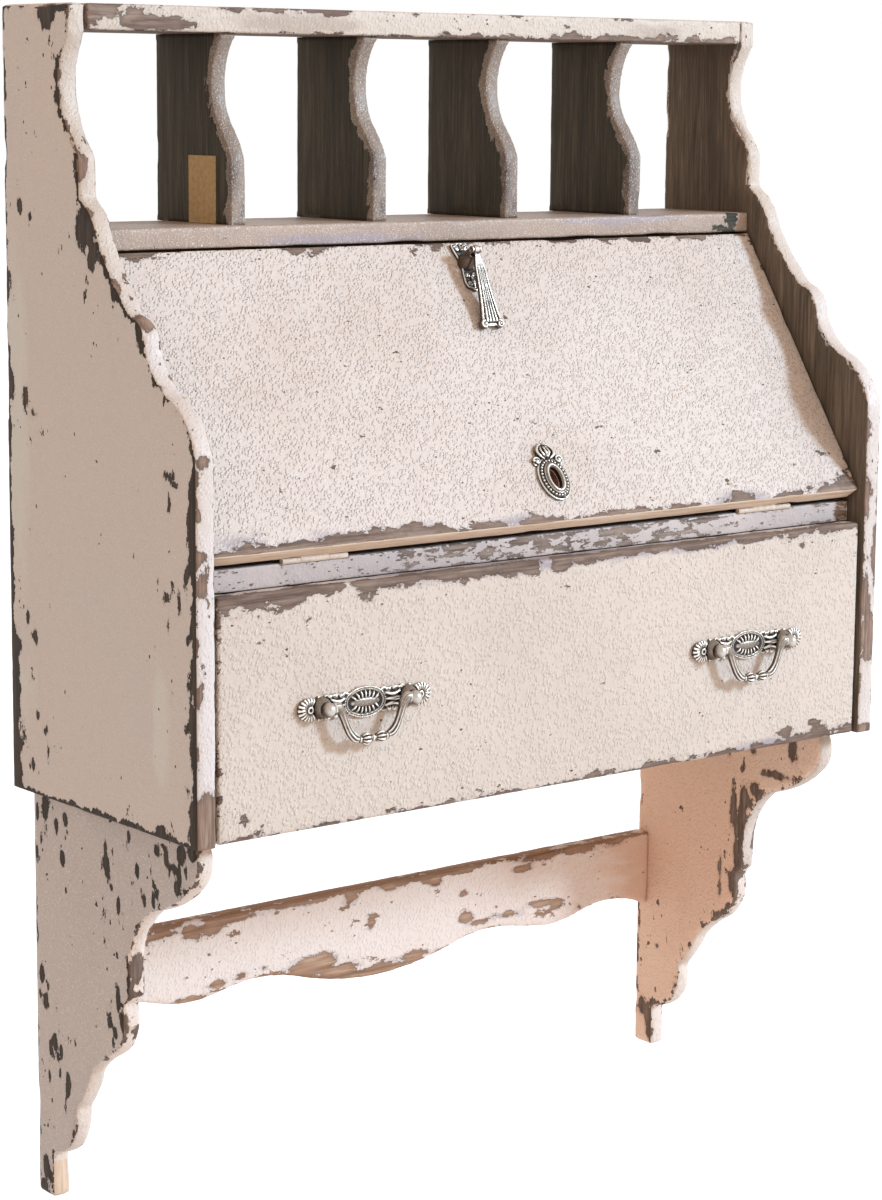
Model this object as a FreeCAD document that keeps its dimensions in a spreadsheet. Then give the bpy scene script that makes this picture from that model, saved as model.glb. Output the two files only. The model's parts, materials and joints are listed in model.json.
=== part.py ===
import FreeCAD, Part
import math
import os
import Sketcher
from FreeCAD import Placement, Rotation, Vector

# A wall-hung fold down desk.  X runs left to right with 0 on the middle line, the front faces -Y,
# the wall is the plane Y = 0 and +Z is up.  Heights in the sheet are measured from the underside of
# the case; the finished frame has its origin between the two wall screws, on the wall.
# All lengths are millimetres.

doc = FreeCAD.newDocument("FoldDownWallDesk")

SIZES = [
    # the case
    ("overall_width", 740, "outside to outside of the side panels"),
    ("side_thk", 18, "side panel board"),
    ("side_height", 640, "side panels, underside to top"),
    ("side_depth", 275, "side panels, wall to front at the drawer"),
    ("top_depth", 101, "side panels and top board at the very top"),
    ("top_thk", 21, "top board"),
    ("nose_depth", 115, "side panels at the foot of the gallery"),
    ("cove_inset", 14, "how far the gallery cove cuts back from the top depth"),
    ("cove_start", 3, "underside of the top board to the cove"),
    ("nose_rise", 54, "top of the gallery shelf to the nose of the gallery"),
    ("nose_bend", 26, "height of the bend from the nose to the cove"),
    ("scroll_start", 24, "height over the shelf where the long scroll begins"),
    ("shoulder_height", 298, "where the long scroll reaches the full depth"),
    ("shelf_top", 466, "top of the gallery shelf"),
    ("shelf_thk", 18, "gallery shelf board"),
    ("shelf_depth", 117, "gallery shelf, wall to front"),
    ("divider_thk", 15, "gallery divider board"),
    ("divider_setback", 5, "divider behind the outline of the sides"),
    ("floor_top", 212, "writing level of the desk floor"),
    ("floor_thk", 18, "desk floor board"),
    ("front_setback", 21, "front edge of the floor behind the sides"),
    ("bottom_thk", 18, "bottom board"),
    ("back_thk", 6, "back panel"),
    ("hanging_rail_height", 60, "rail that takes the wall screws"),
    ("hanging_rail_thk", 18, "rail that takes the wall screws"),
    ("screw_spacing", 400, "wall screw to wall screw"),
    ("screw_hole_radius", 3.25, "clearance hole for a 6 mm wall screw"),
    ("batten_size", 18, "batten that stops the closed flap, square"),
    ("runner_width", 22, "drawer runner strip"),
    ("runner_height", 4, "drawer runner strip"),
    # what hangs below the case
    ("bracket_thk", 18, "bracket board"),
    ("bracket_height", 357, "bracket below the case"),
    ("bracket_depth", 246, "bracket, wall to its nose"),
    ("foot_depth", 25, "straight foot of the bracket"),
    ("foot_height", 41, "straight foot of the bracket"),
    ("scallop_thk", 18, "scalloped rail"),
    ("scallop_drop", 140, "case underside to the top of the scalloped rail"),
    ("scallop_height", 86, "scalloped rail at its deepest point"),
    ("scallop_wave", 24, "height of the waves of its lower edge"),
    # the flap
    ("flap_thk", 17, "flap board"),
    ("flap_side_gap", 1.5, "flap to side panel"),
    ("flap_top_gap", 1.2, "swing clearance under the shelf's front corner"),
    ("flap_foot_gap", 1, "hinge line to the end of the board"),
    ("hinge_length", 63, "butt hinge"),
    ("hinge_leaf", 20, "hinge line to the edge of a leaf"),
    ("hinge_leaf_thk", 1.2, "hinge leaf"),
    ("hinge_barrel_radius", 2.4, "hinge knuckle"),
    ("hinge_pin_radius", 1.2, "hinge pin"),
    ("hinge_inset", 107, "side panel to the middle of a hinge"),
    # the drawer
    ("drawer_front_thk", 18, "drawer front board"),
    ("drawer_front_base", 1, "lower edge of the drawer front"),
    ("drawer_front_rise", 0.5, "drawer front over the underside of the desk floor"),
    ("drawer_corner_radius", 6, "rounded corners of the drawer front"),
    ("drawer_side_gap", 3, "drawer to side panel"),
    ("drawer_board_thk", 12, "drawer sides and back"),
    ("drawer_length", 240, "drawer sides"),
    ("drawer_head_gap", 4, "drawer sides to the desk floor"),
    ("drawer_bottom_thk", 5, "drawer bottom"),
    ("drawer_bottom_rise", 8, "drawer bottom over the lower edge of the drawer sides"),
    ("drawer_travel", 135, "drawer pulled out to its stop"),
    # pulls
    ("pull_inset", 142, "side panel to the middle of a pull"),
    ("pull_height", 98, "middle of the pulls"),
    ("plate_thk", 3, "cast backplates"),
    ("plate_length", 132, "pull backplate"),
    ("plate_height", 26, "pull backplate at its middle"),
    ("post_spacing", 80, "pull post to pull post"),
    ("post_reach", 12, "drawer front to the bail's pivot line"),
    ("post_radius", 6, "pull post"),
    ("bail_rod_radius", 2.6, "bail rod"),
    ("bail_drop", 30, "pivot line to the middle of the grip"),
    ("bead_offset", 7, "middle of a bail to the middle of a bead on its grip"),
    ("pendant_offset", 2, "middle line of the desk to the pendant pull"),
    ("pendant_drop", 20, "upper edge of the flap to the pendant's pivot line"),
    ("pendant_plate_margin", 2, "upper edge of the flap to the pendant backplate"),
    ("pendant_plate_length", 46, "pendant backplate"),
    ("pendant_plate_width", 18, "pendant backplate"),
    ("pendant_reach", 20, "flap face to the pendant's pivot line"),
    ("pendant_length", 70, "pendant, pivot line to its foot"),
    ("pendant_foot_width", 25, "pendant at its foot"),
    ("escutcheon_offset", 8, "middle line of the desk to the escutcheon"),
    ("escutcheon_clearance", 1, "drawer front to the escutcheon when the flap is down"),
    ("escutcheon_height", 55, "escutcheon"),
    ("escutcheon_width", 32, "escutcheon"),
    # small parts and clearances
    ("dowel_radius", 4, "case dowels"),
    ("dowel_length", 30, "case dowels"),
    ("dowel_depth", 10, "dowel hole in the board it stands in"),
    ("brad_radius", 0.9, "headless brads"),
    ("brad_length", 26, "headless brads"),
    ("seat_gap", 0.3, "play where a moving piece rests or stops"),
    ("fit_gap", 0.05, "radial play of a fastener, dowel or pin in its hole"),
    ("tag_width", 39, "blank paper tag, along the divider"),
    ("tag_height", 55, "blank paper tag"),
    ("tag_thk", 0.6, "blank paper tag"),
]

sheet = doc.addObject("Spreadsheet::Sheet", "Sizes")
for row, (alias, value, note) in enumerate(SIZES, start=1):
    sheet.set(f"A{row}", alias)
    sheet.set(f"B{row}", str(value))
    sheet.set(f"C{row}", note)
    sheet.setAlias(f"B{row}", alias)
doc.recompute()


def size(alias):
    return float(sheet.get(alias))


# ---- levels and planes that several pieces share, as expressions on the sheet ----
HALF = "(Sizes.overall_width / 2)"
INNER = "(Sizes.overall_width / 2 - Sizes.side_thk)"
FRONT = "(Sizes.side_depth - Sizes.front_setback)"
DATUM = "(Sizes.shelf_top - Sizes.shelf_thk - Sizes.hanging_rail_height / 2)"
DRAWER_BASE = "(Sizes.bottom_thk + Sizes.runner_height + Sizes.seat_gap)"
FLOOR_UNDER = "(Sizes.floor_top - Sizes.floor_thk)"
SHELF_UNDER = "(Sizes.shelf_top - Sizes.shelf_thk)"
DRAWER_SIDE_HEIGHT = f"({FLOOR_UNDER} - Sizes.drawer_head_gap - {DRAWER_BASE})"

# ---- the same levels as numbers, for the pieces whose shape is set by code ----
half_width = size("overall_width") / 2
inner = half_width - size("side_thk")
front = size("side_depth") - size("front_setback")
datum = size("shelf_top") - size("shelf_thk") - size("hanging_rail_height") / 2
floor_under = size("floor_top") - size("floor_thk")
shelf_under = size("shelf_top") - size("shelf_thk")
top_under = size("side_height") - size("top_thk")
drawer_base = size("bottom_thk") + size("runner_height") + size("seat_gap")
drawer_face = front + size("drawer_front_thk")
drawer_half = inner - size("drawer_side_gap")
drawer_head = floor_under - size("drawer_head_gap")
drawer_front_top = floor_under + size("drawer_front_rise")
fit = size("fit_gap")
seat = size("seat_gap")

# The hinge line lies over the front edge of the floor, so that the leaves are let in flush.  The
# closed flap leans back until its upper outer corner is just under the shelf's front corner.
axis_rise = size("hinge_barrel_radius") - size("hinge_leaf_thk")
axis_height = size("floor_top") + axis_rise
flap_outer = axis_rise + size("flap_thk")
corner_run = front - size("shelf_depth")
corner_rise = shelf_under - axis_height
flap_swing = math.hypot(corner_run, corner_rise) - size("flap_top_gap")
flap_reach = math.sqrt(flap_swing ** 2 - flap_outer ** 2)
flap_pitch = math.asin((corner_rise - seat) / flap_swing) - math.atan2(flap_outer, flap_reach)
flap_lean = 90 - math.degrees(flap_pitch)
flap_place = Placement(Vector(0, -front, axis_height - datum), Rotation(Vector(1, 0, 0), -flap_lean))

nodes = {}


def node(name, obj):
    obj.Label = name
    nodes[name] = obj
    return obj


def move(obj, x="0", depth="0", height="0"):
    """Places an object by expressions: across, out from the wall, up from the case's underside."""
    obj.setExpression("Placement.Base.x", x)
    obj.setExpression("Placement.Base.y", f"-{depth}")
    obj.setExpression("Placement.Base.z", f"{height} - {DATUM}")
    return obj


def board(name, width, deep, height, x, depth, base):
    """A plain board.  depth is its front face; it runs back from there towards the wall."""
    box = doc.addObject("Part::Box", name + "_blank")
    box.setExpression("Length", width)
    box.setExpression("Width", deep)
    box.setExpression("Height", height)
    return move(box, x, depth, base)


def solid(name, shape, placement=None):
    """A piece whose shape is worked out in code."""
    feature = doc.addObject("Part::Feature", name)
    feature.Shape = shape
    if placement is not None:
        feature.Placement = placement
    return feature


def cut(name, base, tools):
    """The base with every tool shape taken out of it."""
    feature = doc.addObject("Part::Cut", name)
    feature.Base = base
    feature.Tool = solid(name + "_cutters", Part.makeCompound(tools))
    return feature


def raised(shape):
    """Moves a shape drawn in case heights into the finished frame."""
    shape.translate(Vector(0, 0, -datum))
    return shape


def rod(radius, length, start, along):
    return Part.makeCylinder(radius, length, Vector(*start), Vector(*along))


def slab(x_low, x_high, y_low, y_high, z_low, z_high):
    return Part.makeBox(x_high - x_low, y_high - y_low, z_high - z_low, Vector(x_low, y_low, z_low))


# ---- outlines: a start point, then ("to", point) or ("arc", middle, end) ----
def outline_edges(start, path):
    edges = []
    here = start
    for kind, *points in path:
        if kind == "to":
            edges.append(Part.LineSegment(Vector(*here, 0), Vector(*points[0], 0)))
        else:
            edges.append(Part.Arc(*(Vector(*point, 0) for point in (here, *points))))
        here = points[-1]
    return edges


def shaped_board(name, plane_role, start, path, thickness, x="0", depth="0"):
    """A board sawn to an outline: a closed sketch on an origin plane, padded to its thickness."""
    body = doc.addObject("PartDesign::Body", name + "_body")
    plane = [item for item in body.Origin.OriginFeatures if item.Role == plane_role][0]
    sketch = body.newObject("Sketcher::SketchObject", name + "_outline")
    sketch.AttachmentSupport = [(plane, "")]
    sketch.MapMode = "FlatFace"
    for edge in outline_edges(start, path):
        index = sketch.addGeometry(edge, False)
        sketch.addConstraint(Sketcher.Constraint("Block", index))
    pad = body.newObject("PartDesign::Pad", name + "_pad")
    pad.Profile = sketch
    pad.setExpression("Length", thickness)
    body.Tip = pad
    return move(body, x, depth, "0")


def gallery_outline(setback):
    """Cove and nose of the gallery, from the underside of the top board to the foot of the nose."""
    upper = size("top_depth") - setback
    nose = size("nose_depth") - setback
    cove = upper - size("cove_inset")
    cove_top = top_under - size("cove_start")
    nose_top = size("shelf_top") + size("nose_rise")
    bend = size("nose_bend")
    nose_root = nose_top + bend
    cove_middle = (cove_top + nose_root) / 2

    def between(share):
        return -(cove + (nose - cove) * share)

    return [
        ("to", (-upper, cove_top)),
        ("arc", (-cove, cove_middle), (between(0.36), nose_root)),
        ("arc", (between(0.71), nose_top + 0.54 * bend), (-nose, nose_top)),
    ]


# ---- side panels ----
def side_outline():
    nose = size("nose_depth")
    deep = size("side_depth")
    scroll_top = size("shelf_top") + size("scroll_start")
    run = deep - nose
    drop = scroll_top - size("shoulder_height")

    def at(share_out, share_down):
        return (-(nose + run * share_out), scroll_top - drop * share_down)

    path = gallery_outline(0)
    path += [
        ("to", at(0, 0)),
        ("arc", at(0.10, 0.07), at(0.17, 0.18)),
        ("arc", at(0.29, 0.32), at(0.43, 0.445)),
        ("to", at(0.49, 0.46)),
        ("arc", at(0.55, 0.51), at(0.575, 0.59)),
        ("arc", at(0.64, 0.675), at(0.76, 0.755)),
        ("arc", at(0.92, 0.85), at(1, 1)),
        ("to", (-deep, 0)),
        ("to", (0, 0)),
        ("to", (0, size("side_height"))),
        ("to", (-size("top_depth"), size("side_height"))),
    ]
    return (-size("top_depth"), size("side_height")), path


# Dowels join the four cross boards to the side panels, and the lower parts to each other.
dowel_r = size("dowel_radius")
dowel_len = size("dowel_length")
dowel_in = size("dowel_depth")
floor_middle = floor_under + size("floor_thk") / 2
shelf_middle = shelf_under + size("shelf_thk") / 2
top_middle = top_under + size("top_thk") / 2
bottom_middle = size("bottom_thk") / 2
DOWEL_END = 0.5  # glue space past each end of a dowel

case_dowel_spots = {
    "top_board": [(share * size("top_depth"), top_middle) for share in (0.3, 0.7)],
    "gallery_shelf": [(share * size("shelf_depth"), shelf_middle) for share in (0.3, 0.7)],
    "desk_floor": [(share * front, floor_middle) for share in (0.2, 0.5, 0.8)],
    "bottom_board": [(share * front, bottom_middle) for share in (0.2, 0.5, 0.8)],
}


def case_dowels(radius, extra, boards):
    shapes = []
    for spot_board in boards:
        for depth, height in case_dowel_spots[spot_board]:
            for sign in (-1, 1):
                start = (sign * (inner + dowel_in + extra), -depth, height)
                shapes.append(rod(radius, dowel_len + 2 * extra, start, (-sign, 0, 0)))
    return [raised(shape) for shape in shapes]


side_start, side_path = side_outline()
all_cross_boards = list(case_dowel_spots)
for name, left_edge in (("side_left", f"-{HALF}"), ("side_right", INNER)):
    blank = shaped_board(name, "YZ_Plane", side_start, side_path, "Sizes.side_thk", left_edge)
    node(name, cut(name, blank, case_dowels(dowel_r + fit, DOWEL_END, all_cross_boards)))
node(
    "case_dowels",
    solid("case_dowels", Part.makeCompound(case_dowels(dowel_r, 0, all_cross_boards))),
)

# ---- gallery: top board, shelf and four dividers ----
bay = (2 * inner - 4 * size("divider_thk")) / 5
BAY = f"((2 * {INNER} - 4 * Sizes.divider_thk) / 5)"
divider_lefts = [-inner + (i + 1) * bay + i * size("divider_thk") for i in range(4)]
brad_r = size("brad_radius")
brad_len = size("brad_length")


def divider_brads(radius, extra):
    """Brads down through the top board and up through the shelf into each divider's ends."""
    shapes = []
    for left in divider_lefts:
        middle = left + size("divider_thk") / 2
        for depth in (0.25 * size("top_depth"), 0.65 * size("top_depth")):
            down = (middle, -depth, size("side_height") + extra)
            shapes.append(rod(radius, brad_len + size("top_thk") / 2 + extra, down, (0, 0, -1)))
            up = (middle, -depth, shelf_under - extra)
            shapes.append(rod(radius, brad_len + size("shelf_thk") / 2 + extra, up, (0, 0, 1)))
    return [raised(shape) for shape in shapes]


brad_holes = divider_brads(brad_r + fit, fit)
top_blank = board(
    "top_board", f"2 * {INNER}", "Sizes.top_depth", "Sizes.top_thk",
    f"-{INNER}", "Sizes.top_depth", "(Sizes.side_height - Sizes.top_thk)",
)
node("top_board", cut("top_board", top_blank,
                      case_dowels(dowel_r + fit, DOWEL_END, ["top_board"]) + brad_holes))

divider_path = gallery_outline(size("divider_setback"))
divider_nose = size("nose_depth") - size("divider_setback")
divider_upper = size("top_depth") - size("divider_setback")
divider_path = [("to", divider_path[0][1])] + divider_path[1:] + [
    ("to", (-divider_nose, size("shelf_top"))),
    ("to", (0, size("shelf_top"))),
    ("to", (0, top_under)),
    ("to", (-divider_upper, top_under)),
]
for i, left in enumerate(divider_lefts):
    name = f"divider_{i + 1}"
    edge = f"(-{INNER} + {i + 1} * {BAY} + {i} * Sizes.divider_thk)"
    blank = shaped_board(name, "YZ_Plane", (-divider_upper, top_under), divider_path,
                         "Sizes.divider_thk", edge)
    node(name, cut(name, blank, brad_holes))
node("divider_brads", solid("divider_brads", Part.makeCompound(divider_brads(brad_r, 0))))

tag_top = size("shelf_top") + size("tag_height")
tag_back = 0.42 * size("shelf_depth")
tag = slab(divider_lefts[0] - size("tag_thk"), divider_lefts[0],
           -tag_back - size("tag_width"), -tag_back, size("shelf_top") + seat, tag_top)
node("paper_tag", solid("paper_tag", raised(tag)))


# ---- back panel, its brads, and the rail that takes the wall screws ----
# The panel reaches into a rebate under the shelf, so its upper brads have wood to bite.
REBATE = 6
BRAD_COLUMNS = (-0.9, -0.3, 0.3, 0.9)  # shares of the half width inside


def wall_screw_holes():
    return [
        rod(size("screw_hole_radius"), size("hanging_rail_thk") + size("back_thk") + 2,
            (sign * size("screw_spacing") / 2, 1, 0), (0, -1, 0))
        for sign in (-1, 1)
    ]


def back_brads(radius, extra):
    """A row of brads through the back panel into the shelf, the floor and the bottom board."""
    shapes = []
    for height in (shelf_under + REBATE / 2, floor_middle, bottom_middle):
        for share in BRAD_COLUMNS:
            start = (share * inner, extra, height)
            shapes.append(rod(radius, brad_len + 2 * extra, start, (0, -1, 0)))
    return [raised(shape) for shape in shapes]


back_brad_holes = back_brads(brad_r + fit, fit)
back_blank = board(
    "back_panel", f"2 * {INNER}", "Sizes.back_thk", f"{SHELF_UNDER} + {REBATE}",
    f"-{INNER}", "Sizes.back_thk", "0",
)
node("back_panel", cut("back_panel", back_blank, wall_screw_holes() + back_brad_holes))
node("back_panel_brads", solid("back_panel_brads", Part.makeCompound(back_brads(brad_r, 0))))

shelf_blank = board(
    "gallery_shelf", f"2 * {INNER}", "Sizes.shelf_depth", "Sizes.shelf_thk",
    f"-{INNER}", "Sizes.shelf_depth", SHELF_UNDER,
)
back_rebate = raised(slab(-inner, inner, -size("back_thk"), 1, shelf_under - 1,
                          shelf_under + REBATE))
node("gallery_shelf", cut("gallery_shelf", shelf_blank,
                          case_dowels(dowel_r + fit, DOWEL_END, ["gallery_shelf"])
                          + brad_holes + back_brad_holes + [back_rebate]))

rail_blank = board(
    "hanging_rail", f"2 * {INNER}", "Sizes.hanging_rail_thk", "Sizes.hanging_rail_height",
    f"-{INNER}", "(Sizes.back_thk + Sizes.hanging_rail_thk)",
    f"({SHELF_UNDER} - Sizes.hanging_rail_height)",
)
node("hanging_rail", cut("hanging_rail", rail_blank, wall_screw_holes()))

# ---- batten under the shelf that the closed flap comes to rest against ----
flap_inner_top = (
    -front + flap_reach * math.cos(flap_pitch) - axis_rise * math.sin(flap_pitch)
)
batten = slab(-inner, inner, flap_inner_top + seat, flap_inner_top + seat + size("batten_size"),
              shelf_under - size("batten_size"), shelf_under)
node("flap_stop_batten", solid("flap_stop_batten", raised(batten)))

# ---- hinges: two leaves of three knuckles on one pin, let in flush ----
hinge_len = size("hinge_length")
leaf_thk = size("hinge_leaf_thk")
barrel_r = size("hinge_barrel_radius")
pin_r = size("hinge_pin_radius")
hinge_xs = {"left": -inner + size("hinge_inset"), "right": inner - size("hinge_inset")}
OUTER_KNUCKLE = 0.28  # share of the hinge's length
knuckle_edges = [0, OUTER_KNUCKLE * hinge_len, (1 - OUTER_KNUCKLE) * hinge_len, hinge_len]
screw_shares = (0.16, 0.5, 0.84)
SCREW_HEAD_R = 2.8
SCREW_SHANK_R = 1.4
SCREW_HEAD_DEEP = leaf_thk
SCREW_LENGTH = 11


def leaf_screw(x, side, extra):
    """A countersunk screw whose head lies flush with the leaf's open face."""
    out = side * axis_rise
    centre = size("hinge_leaf") * 0.62
    head = Part.makeCone(SCREW_HEAD_R + extra, SCREW_SHANK_R + extra, SCREW_HEAD_DEEP,
                         Vector(x, out, centre), Vector(0, side, 0))
    shank = rod(SCREW_SHANK_R + extra, SCREW_LENGTH + 2 * extra, (x, out, centre), (0, side, 0))
    return head.fuse(shank).removeSplitter()


def hinge_screws(x_middle, side, extra):
    left = x_middle - hinge_len / 2
    return [leaf_screw(left + share * hinge_len, side, extra) for share in screw_shares]


def hinge_leaf(x_middle, side, owned):
    """A leaf standing up from the hinge line, its knuckles round that line.

    side is +1 where the wood lies on the +Y side of the leaf, and -1 where it lies on the other.
    """
    left = x_middle - hinge_len / 2
    near, far = sorted((side * axis_rise, side * barrel_r))
    leaf = slab(left, left + hinge_len, near, far, barrel_r + seat, size("hinge_leaf"))
    for index in owned:
        low = left + knuckle_edges[index] + (seat / 2 if index > 0 else 0)
        high = left + knuckle_edges[index + 1] - (seat / 2 if index < 2 else 0)
        leaf = leaf.fuse(slab(low, high, near, far, 0, barrel_r + seat))
        leaf = leaf.fuse(rod(barrel_r, high - low, (low, 0, 0), (1, 0, 0)))
    leaf = leaf.cut(rod(pin_r + fit, hinge_len + 2, (left - 1, 0, 0), (1, 0, 0)))
    for hole in hinge_screws(x_middle, side, fit):
        leaf = leaf.cut(hole)
    return leaf.removeSplitter()


def hinge_recess(x_middle, side):
    """The pocket for one leaf and the groove that both barrels turn in."""
    left = x_middle - hinge_len / 2 - fit * 4
    length = hinge_len + fit * 8
    near, far = sorted((side * (axis_rise - 1), side * barrel_r))
    pocket = slab(left, left + length, near, far, 0, size("hinge_leaf") + fit * 4)
    groove = rod(barrel_r + seat, length, (left, 0, 0), (1, 0, 0))
    return [pocket, groove] + hinge_screws(x_middle, side, fit)


# A fixed leaf lies on the floor: the upright leaf laid back towards the wall.
floor_leaf_place = Placement(Vector(0, -front, axis_height - datum), Rotation(Vector(1, 0, 0), -90))


def placed(shapes, placement):
    moved = []
    for shape in shapes:
        shape = shape.copy()
        shape.Placement = placement.multiply(shape.Placement)
        moved.append(shape)
    return moved


for hand, x in hinge_xs.items():
    node(f"hinge_{hand}_fixed_leaf",
         solid(f"hinge_{hand}_fixed_leaf", hinge_leaf(x, 1, (0, 2)), floor_leaf_place))
    node(f"hinge_{hand}_flap_leaf",
         solid(f"hinge_{hand}_flap_leaf", hinge_leaf(x, -1, (1,)), flap_place))
    pin = rod(pin_r, hinge_len, (x - hinge_len / 2, 0, 0), (1, 0, 0))
    node(f"hinge_{hand}_pin", solid(f"hinge_{hand}_pin", pin, floor_leaf_place))
fixed_screws = [screw for x in hinge_xs.values() for screw in hinge_screws(x, 1, 0)]
flap_screws = [screw for x in hinge_xs.values() for screw in hinge_screws(x, -1, 0)]
node("hinge_fixed_screws",
     solid("hinge_fixed_screws", Part.makeCompound(fixed_screws), floor_leaf_place))
node("hinge_flap_screws", solid("hinge_flap_screws", Part.makeCompound(flap_screws), flap_place))

# ---- desk floor, with the drawer's stop button under it ----
button_rear = front - (size("drawer_length") - size("drawer_board_thk")) + size("drawer_travel")
BUTTON_LONG = 60
BUTTON_WIDE = 14
BUTTON_DROP = size("drawer_head_gap") + 4
button_depth = button_rear + seat
button_middle = button_depth + BUTTON_WIDE / 2
STOP_SCREW_R = 2


def stop_screw(extra):
    """The screw the button turns on: a round head below it, the shank up into the floor."""
    low = floor_under - BUTTON_DROP - 2
    head = rod(5, 2, (0, -button_middle, low), (0, 0, 1))
    shank = rod(STOP_SCREW_R + extra, 2 + BUTTON_DROP + 12 + extra, (0, -button_middle, low),
                (0, 0, 1))
    return raised(shank if extra else head.fuse(shank).removeSplitter())


button = slab(-BUTTON_LONG / 2, BUTTON_LONG / 2, -button_depth - BUTTON_WIDE, -button_depth,
              floor_under - BUTTON_DROP, floor_under)
button = raised(button).cut(stop_screw(fit))
node("drawer_stop_button", solid("drawer_stop_button", button))
node("drawer_stop_screw", solid("drawer_stop_screw", stop_screw(0)))

floor_blank = board(
    "desk_floor", f"2 * {INNER}", f"({FRONT} - Sizes.back_thk)", "Sizes.floor_thk",
    f"-{INNER}", FRONT, FLOOR_UNDER,
)
floor_cutters = case_dowels(dowel_r + fit, DOWEL_END, ["desk_floor"]) + back_brad_holes
floor_cutters.append(stop_screw(fit))
for x in hinge_xs.values():
    floor_cutters += placed(hinge_recess(x, 1), floor_leaf_place)
node("desk_floor", cut("desk_floor", floor_blank, floor_cutters))

# ---- bottom board and the two runners ----
bracket_middle = inner - size("bracket_thk") / 2


def bracket_dowels(radius, extra):
    """Upright dowels into the brackets and level ones into the ends of the scalloped rail."""
    shapes = []
    for sign in (-1, 1):
        for depth in (0.3 * size("bracket_depth"), 0.7 * size("bracket_depth")):
            top = (sign * bracket_middle, -depth, dowel_in + extra)
            shapes.append(rod(radius, dowel_len + 2 * extra, top, (0, 0, -1)))
        for drop in (0.25, 0.6):
            height = -size("scallop_drop") - drop * size("scallop_height")
            inside = inner - size("bracket_thk") + dowel_in + extra
            start = (sign * inside, -size("scallop_thk") / 2, height)
            shapes.append(rod(radius, dowel_len + 2 * extra, start, (-sign, 0, 0)))
    return [raised(shape) for shape in shapes]


bracket_holes = bracket_dowels(dowel_r + fit, DOWEL_END)
bottom_blank = board(
    "bottom_board", f"2 * {INNER}", f"({FRONT} - Sizes.back_thk)", "Sizes.bottom_thk",
    f"-{INNER}", FRONT, "0",
)
node("bottom_board", cut("bottom_board", bottom_blank,
                         case_dowels(dowel_r + fit, DOWEL_END, ["bottom_board"])
                         + back_brad_holes + bracket_holes))
for name, edge in (("drawer_runner_left", f"-{INNER}"),
                   ("drawer_runner_right", f"({INNER} - Sizes.runner_width)")):
    node(name, board(name, "Sizes.runner_width", f"({FRONT} - Sizes.back_thk)",
                     "Sizes.runner_height", edge, FRONT, "Sizes.bottom_thk"))


# ---- brackets and the scalloped rail below the case ----
def bracket_outline():
    deep = size("bracket_depth")
    drop = size("bracket_height")
    foot = size("foot_depth")
    foot_top = -(drop - size("foot_height"))
    run = deep - foot

    def at(share_out, share_down):
        return (-(foot + run * share_out), foot_top * share_down)

    path = [
        ("to", at(0.965, 0)),
        ("arc", at(1, 0.070), at(0.945, 0.137)),
        ("arc", at(0.845, 0.187), at(0.705, 0.225)),
        ("arc", at(0.595, 0.300), at(0.552, 0.385)),
        ("to", at(0.548, 0.478)),
        ("to", at(0.505, 0.505)),
        ("arc", at(0.495, 0.600), at(0.420, 0.655)),
        ("arc", at(0.335, 0.695), at(0.275, 0.735)),
        ("arc", at(0.225, 0.800), at(0.170, 0.850)),
        ("arc", at(0.150, 0.930), at(0.065, 0.990)),
        ("to", (-foot, foot_top)),
        ("to", (-foot, -drop)),
        ("to", (0, -drop)),
        ("to", (0, 0)),
    ]
    return (0, 0), path


bracket_start, bracket_path = bracket_outline()
bracket_edges = {"bracket_left": f"-{INNER}", "bracket_right": f"({INNER} - Sizes.bracket_thk)"}
for name, edge in bracket_edges.items():
    blank = shaped_board(name, "YZ_Plane", bracket_start, bracket_path, "Sizes.bracket_thk", edge)
    node(name, cut(name, blank, bracket_holes))


def scallop_outline():
    """Top edge straight; the lower edge waves from end to end, the same both sides of the middle."""
    half = inner - size("bracket_thk")
    top = -size("scallop_drop")
    low = top - size("scallop_height")

    def at(share_out, share_up):
        return half * share_out, low + size("scallop_wave") * share_up

    # from the right end inwards: the middle and the end of each arc
    arcs = [((0.85, 1.00), (0.73, 0.75)), ((0.617, 0.50), (0.51, 0.69)),
            ((0.404, 0.875), (0.255, 0.54))]
    end = (1, 0.46)
    path = [("to", (half, top)), ("to", at(*end))]
    path += [("arc", at(*middle), at(*stop)) for middle, stop in arcs]
    path.append(("arc", at(0, 0), at(-arcs[-1][1][0], arcs[-1][1][1])))
    stops = [end] + [stop for middle, stop in arcs]
    for (middle, stop), before in reversed(list(zip(arcs, stops))):
        path.append(("arc", at(-middle[0], middle[1]), at(-before[0], before[1])))
    path.append(("to", (-half, top)))
    return (-half, top), path


scallop_start, scallop_path = scallop_outline()
scallop_blank = shaped_board("scalloped_rail", "XZ_Plane", scallop_start, scallop_path,
                             "Sizes.scallop_thk")
node("scalloped_rail", cut("scalloped_rail", scallop_blank, bracket_holes))
node("bracket_dowels", solid("bracket_dowels", Part.makeCompound(bracket_dowels(dowel_r, 0))))


# ---- the flap, drawn upright on the hinge line and then leaned back ----
# Opened, the flap lies on the drawer front, so the escutcheon starts just past that board.
escutcheon_foot = size("drawer_front_thk") + size("escutcheon_clearance")
escutcheon_middle = escutcheon_foot + size("escutcheon_height") / 2
escutcheon_slot = escutcheon_middle - 0.13 * size("escutcheon_height")
pendant_axis = flap_reach - size("pendant_drop")
pendant_plate_middle = (
    flap_reach - size("pendant_plate_margin") - size("pendant_plate_length") / 2
)
PIN_R = 0.8
PIN_HEAD_R = 1.7
PIN_LENGTH = 9


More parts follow.
